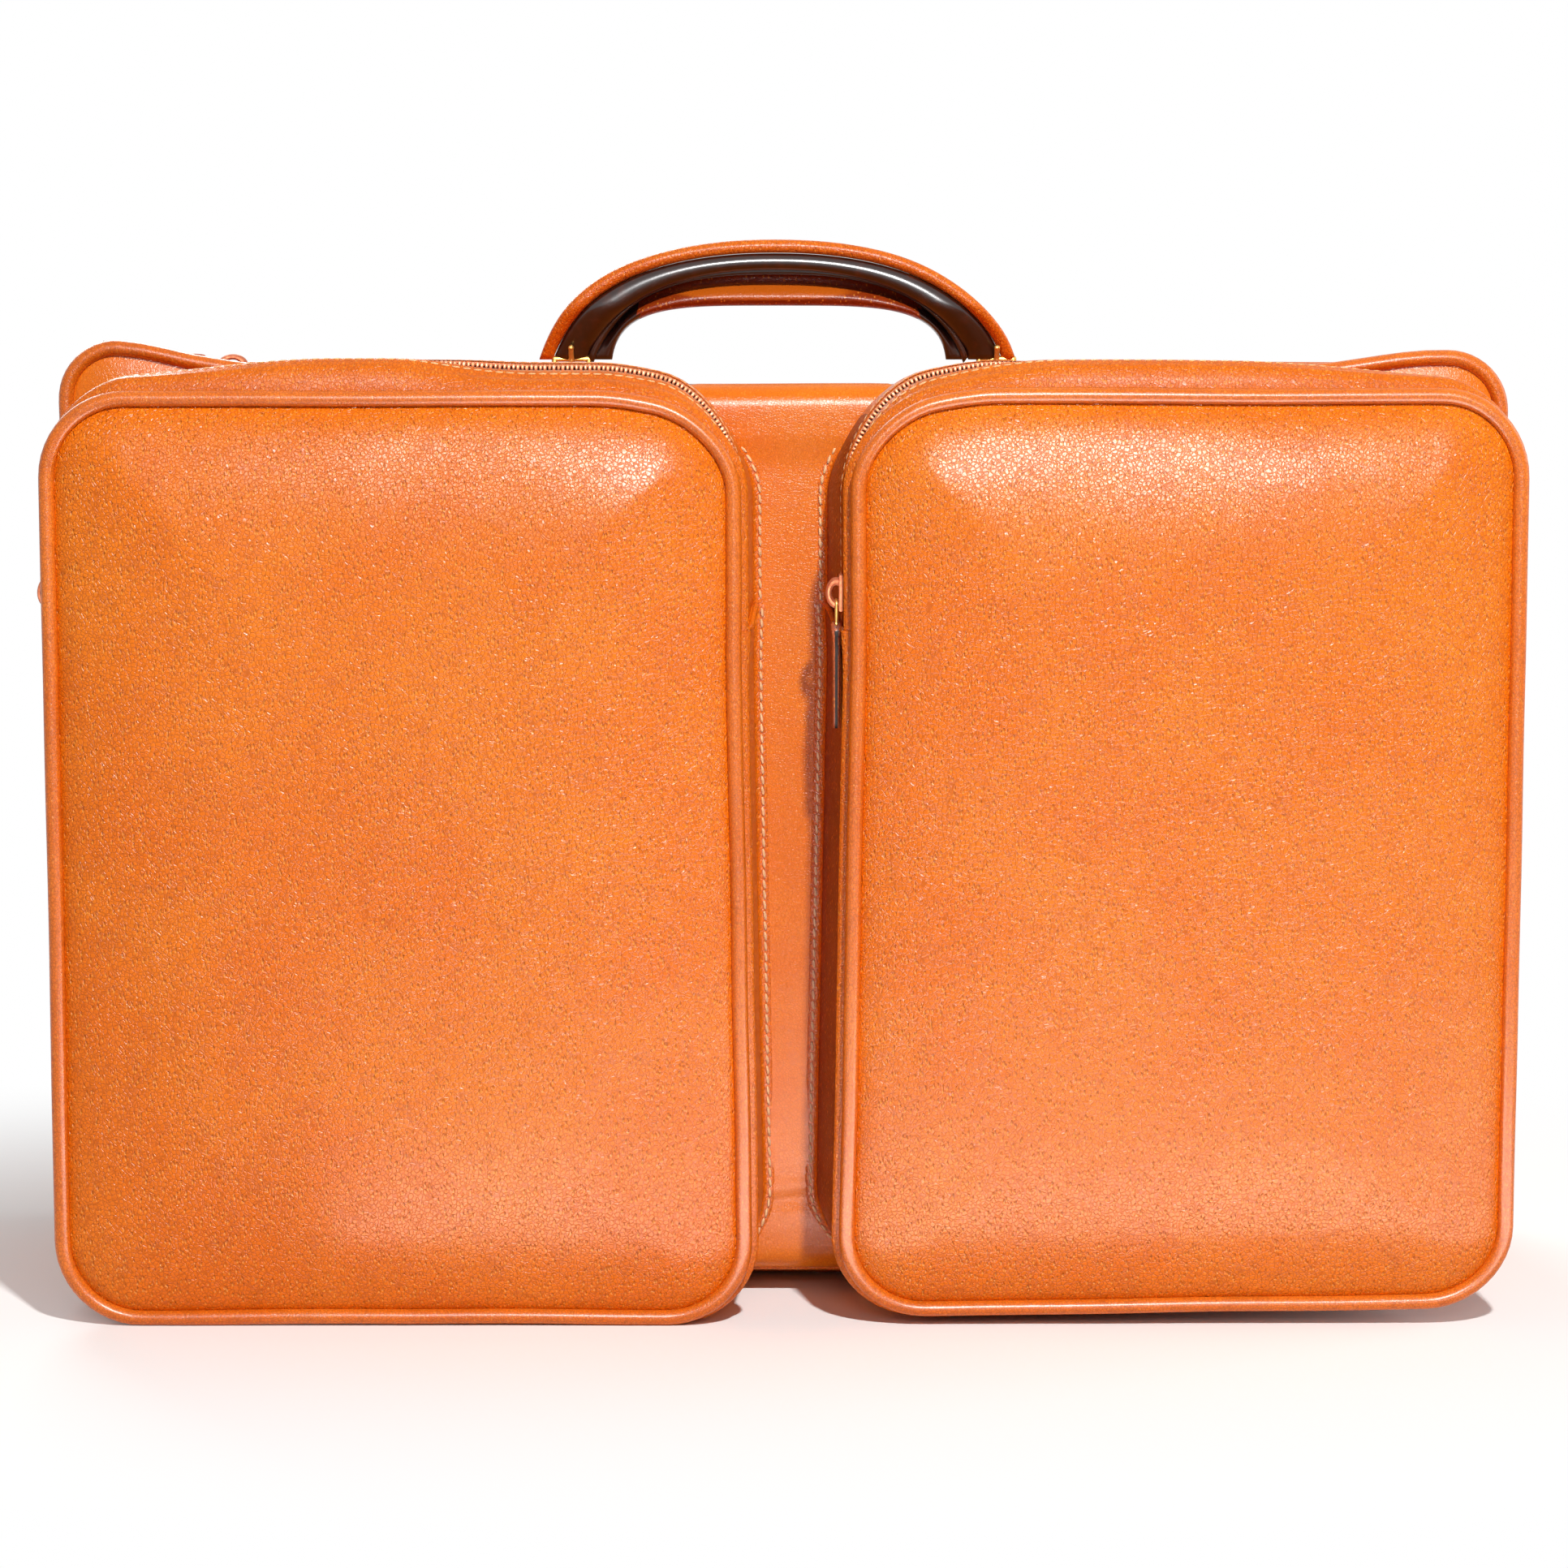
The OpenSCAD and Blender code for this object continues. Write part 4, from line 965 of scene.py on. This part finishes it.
def belly_top(share):
    """Upper edge of the belly: free of the core at the feet and close to it over the crown."""
    line = arch("slot", share)
    core = arch("core_under", share)
    lower = np.minimum(np.hypot(core[:, 0], core[:, 1] - CENTRE_Z) - 0.0002, np.hypot(line[:, 0], line[:, 1] - CENTRE_Z))
    size = np.hypot(line[:, 0], line[:, 1] - CENTRE_Z)
    line[:, 1] = CENTRE_Z + (line[:, 1] - CENTRE_Z) * np.minimum(1, lower / size)
    line[:, 0] *= np.minimum(1, lower / size)
    return line


strap = handle_piece("handle_strap_leather", lambda s: arch("strap_top", s), lambda s: arch("strap_under", s),
                     0.0262, 0.0026, side_leather)
dress(strap, "handle", "tan_leather", "handle_strap")
core = handle_piece("handle_lacquered_core", lambda s: arch("core_top", s), lambda s: arch("core_under", s),
                    0.0275, 0.0036, edge_lacquer)
dress(core, "handle", "black_edge", "handle_core")
# The inner layer is lacquered black like the real edges. As a dark sheet filling the slot between core and belly, it
# is also painted shade.
layer = handle_piece("handle_inner_layer", lambda s: arch("core_under", s) + (0, 0.0012),
                     lambda s: belly_top(s) - (0, 0.0015), 0.014, 0.001, edge_lacquer)
dress(layer, "handle", "black_edge")
belly = handle_piece("handle_belly_pad", belly_top, lambda s: arch("belly_under", s),
                     0.0225, 0.0075, painted_shade_belly_leather, waist=0.66)
belly.data.materials.append(edge_lacquer)
for face in belly.data.polygons:
    face.material_index = 1 if abs(face.center.x + 0.002) > 0.057 else 0
dress(belly, "handle", "tan_leather", "handle_belly")
print("handle faces", [len(o.data.polygons) for o in (strap, core, belly)])

# %% [markdown]
# ## Sliders, links and tabs
# Each slider is a small brass casting: two plates with a wedge between and a bail on top that
# carries the link. The leather tab is two layers glued back to back, with the cut edge painted.

# %% Slider, link and tab
def block(name, size, place, bevel):
    """A cube shaped to size in edit mode, with its edges rounded."""
    bpy.ops.object.select_all(action="DESELECT")
    bpy.ops.mesh.primitive_cube_add(size=1)
    obj = bpy.context.object
    obj.name = name
    bpy.ops.object.mode_set(mode="EDIT")
    bpy.ops.mesh.select_all(action="SELECT")
    bpy.ops.transform.resize(value=size)
    bpy.ops.transform.translate(value=place)
    bpy.ops.mesh.bevel(offset=bevel, segments=2, affect="EDGES")
    bpy.ops.object.mode_set(mode="OBJECT")
    return obj


def slider(name, to_world, plate_in):
    """A slider, drawn with the zip along X and its outside up, then taken to its place."""
    parts = [
        block("outer_plate", (0.014, 0.009, 0.0016), (0, 0, 0.0023), 0.0006),
        block("inner_plate", (0.014, 0.009, 0.0012), (0, 0, -plate_in - 0.0006), 0.0004),
        block("wedge", (0.005, 0.0006, plate_in + 0.0030), (0.0035, 0, (0.0020 - plate_in) / 2), 0.0002),
    ]
    bpy.ops.object.select_all(action="DESELECT")
    bpy.ops.mesh.primitive_torus_add(major_radius=0.0044, minor_radius=0.0016, major_segments=32,
                                     minor_segments=10, rotation=(math.pi / 2, 0, 0))
    bail = bpy.context.object
    bpy.ops.object.transform_apply(location=True, rotation=True, scale=True)
    bpy.ops.object.mode_set(mode="EDIT")
    bpy.ops.mesh.select_all(action="SELECT")
    bpy.ops.mesh.bisect(plane_co=(0, 0, -0.0016), plane_no=(0, 0, -1), use_fill=True, clear_outer=True)
    bpy.ops.mesh.select_all(action="SELECT")
    bpy.ops.transform.resize(value=(1, 1.5, 0.68), center_override=(0, 0, 0))
    bpy.ops.transform.translate(value=(0, 0, 0.0040))
    bpy.ops.object.mode_set(mode="OBJECT")
    only(bail)
    for part in parts:
        part.select_set(True)
    bpy.ops.object.join()
    body = bpy.context.object
    body.name = body.data.name = name
    body.data.transform(to_world)
    body.data.materials.clear()
    body.data.materials.append(slider_brass)
    bpy.ops.object.shade_smooth_by_angle(angle=math.radians(35))
    return body


TAB_LENGTH, TAB_WIDTH, TAB_PIVOT, BAIL_Z = 0.040, 0.011, 0.0119, 0.0040


def tab(name, to_world):
    """Two layers of leather with painted edges, folded round the link at the near end."""
    share = np.linspace(0, 1, steps(30) + 1)
    x = 0.0016 - (0.0016 + TAB_LENGTH) * share
    half = np.interp(-x, [-0.0016, 0.003, 0.009, 0.012, 0.034, 0.038, 0.0395, 0.040],
                     [0.0016, 0.0017, 0.0050, 0.0055, 0.0042, 0.0030, 0.0018, 0.0004])
    swell = np.interp(-x, [-0.0016, 0.0, 0.003, 0.006, 0.040], [0.0006, 0.0022, 0.0019, 0.0015, 0.0013])
    bend = np.radians(np.linspace(-90, 90, 9))
    section = [(1, a) for a in bend] + [(0.4, math.pi / 2), (-0.4, math.pi / 2)]
    section += [(-1, -a) for a in bend] + [(-0.4, -math.pi / 2), (0.4, -math.pi / 2)]
    rows = []
    for f, a in section + section[:1]:
        rows.append(np.stack([x, f * (half - np.minimum(half, 0.0009) * (1 - math.cos(a))), swell * math.sin(a)], axis=1))
    strip = laid(name, rows, tab_leather, weld=True)
    strip.data.materials.append(edge_paint)
    for face in strip.data.polygons:
        if abs(face.normal.z) < 0.6 and abs(face.center.z) < 0.0006 and face.center.x < -0.003:
            face.material_index = 1
    strip.data.transform(to_world @ Matrix.Translation((-TAB_PIVOT, 0, BAIL_Z)))
    return strip


def wall_matrix(side):
    """Takes a slider's drawing to the inner or outer wall of a pocket, its outside facing left."""
    low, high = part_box(f"{side}_slider")
    x = low[0] + 0.0040 + 0.0054
    middle = (low[2] + high[2]) / 2
    return Matrix.Translation((x, POCKET_ZIP, middle)) @ Matrix.Rotation(-math.pi / 2, 4, "Y")


for side, lean in (("left", 0.0019), ("right", 0.0020)):
    place = wall_matrix(side)
    dress(slider(f"{side}_slider_casting", place, 0.0015 + lean), f"{side}_slider", "brass", f"{side}_slider")
    dress(tab(f"{side}_tab_leather", place), f"{side}_tab", "tab_leather", f"{side}_tab")
top_place = Matrix.Translation((-0.218, ZIP_Y, 0.3615))
dress(slider("main_slider_casting", top_place, 0.0015), "main_slider", "brass", "main_slider")
tilt = (Matrix.Translation((0, 0, BAIL_Z)) @ Matrix.Rotation(math.radians(9), 4, "Y")
        @ Matrix.Translation((0, 0, -BAIL_Z)))
dress(tab("main_tab_leather", top_place @ tilt), "main_tab", "tab_leather", "main_tab")
print("sliders and tabs done")

# %% [markdown]
# ## Linings and the frame's own parts
# Open, the case shows a cotton lining in both halves. Each is a shallow tray of cloth: a wall that
# follows the outline and a flat panel against the board. The links, staples, rings, boards and the
# strip under the handle keep their CAD shapes and only get their materials.

# %% Linings
LINING = (-0.2763, 0.2763, 0.0044, 0.3573, 0.0205)
for name, wall_y, rim_y, body, node in (("tray_cloth", 0.0691, -0.0225, "case", "tray_lining"),
                                        ("lid_cloth", -0.0691, -0.0395, "lid", "lid_lining")):
    inward = -1 if wall_y > 0 else 1
    ys = np.linspace(rim_y, wall_y - 0.0004 * -inward, steps(14) + 1)
    rows = ring_rows(LINING, [(y, -0.0001) for y in ys][:: 1 if wall_y > 0 else -1], "whole", shape=settled)
    wall = laid(name, rows[::-1], lining_cloth)
    sheet = panel_rows(taken_in(LINING, 0.0003), lambda e, x, z, w=wall_y, i=inward: w + 0 * e, 40, 30,
                       flip=wall_y < 0, shape=settled)
    back = laid(name + "_panel", sheet, lining_cloth)
    only(wall)
    back.select_set(True)
    bpy.ops.object.join()
    dress(thick(wall, 0.0008, rim=0), body, "lining", node)

# %% Boards
# The boards are a pressed fibre sheet that has bent with the top, so their upper edge sinks too.
for name, body, node in (("front_fibreboard", "lid", "front_board"), ("back_fibreboard", "case", "back_board")):
    low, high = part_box(node)
    rear = high[1] > 0
    outline = (low[0], high[0], low[2], high[2], 0.018)
    face = high[1] if rear else low[1]
    rows = panel_rows(outline, lambda e, x, z, y=face: y + 0 * e, 50, 40, settled, flip=rear)
    board = thick(laid(name, rows, fibreboard), high[1] - low[1], rim=0.0003)
    dress(board, body, "board", node)

# %% The strip under the handle
# A flexible brass strip lies under the leather, between the feet of the handle, and has bent with it.
rows = []
for y, z in ((0.0112, 0.3588), (0.0288, 0.3588), (0.0290, 0.3596), (0.0288, 0.3603), (0.0112, 0.3603),
             (0.0110, 0.3596), (0.0112, 0.3588)):
    line = np.linspace(-0.1005, 0.1005, 61)
    rows.append(np.stack([line, np.full(61, y), np.full(61, z)], axis=1))
strip = laid("handle_strip", settled(np.array(rows)), fitting_brass, weld=True)
dress(strip, "case", "brass", "handle_plate")

# %% Materials for the CAD parts that stay
KEPT = {
    "base_board": fibreboard,
    "left_staple": fitting_brass, "right_staple": fitting_brass,
    "left_ring": fitting_brass, "right_ring": fitting_brass, "main_link": fitting_brass,
    "left_link": fitting_brass, "right_link": fitting_brass,
}
for node, material in KEPT.items():
    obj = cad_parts[node]
    obj.data.materials.clear()
    obj.data.materials.append(material)
for pattern in (stitch, tooth):
    bpy.data.objects.remove(pattern, do_unlink=True)
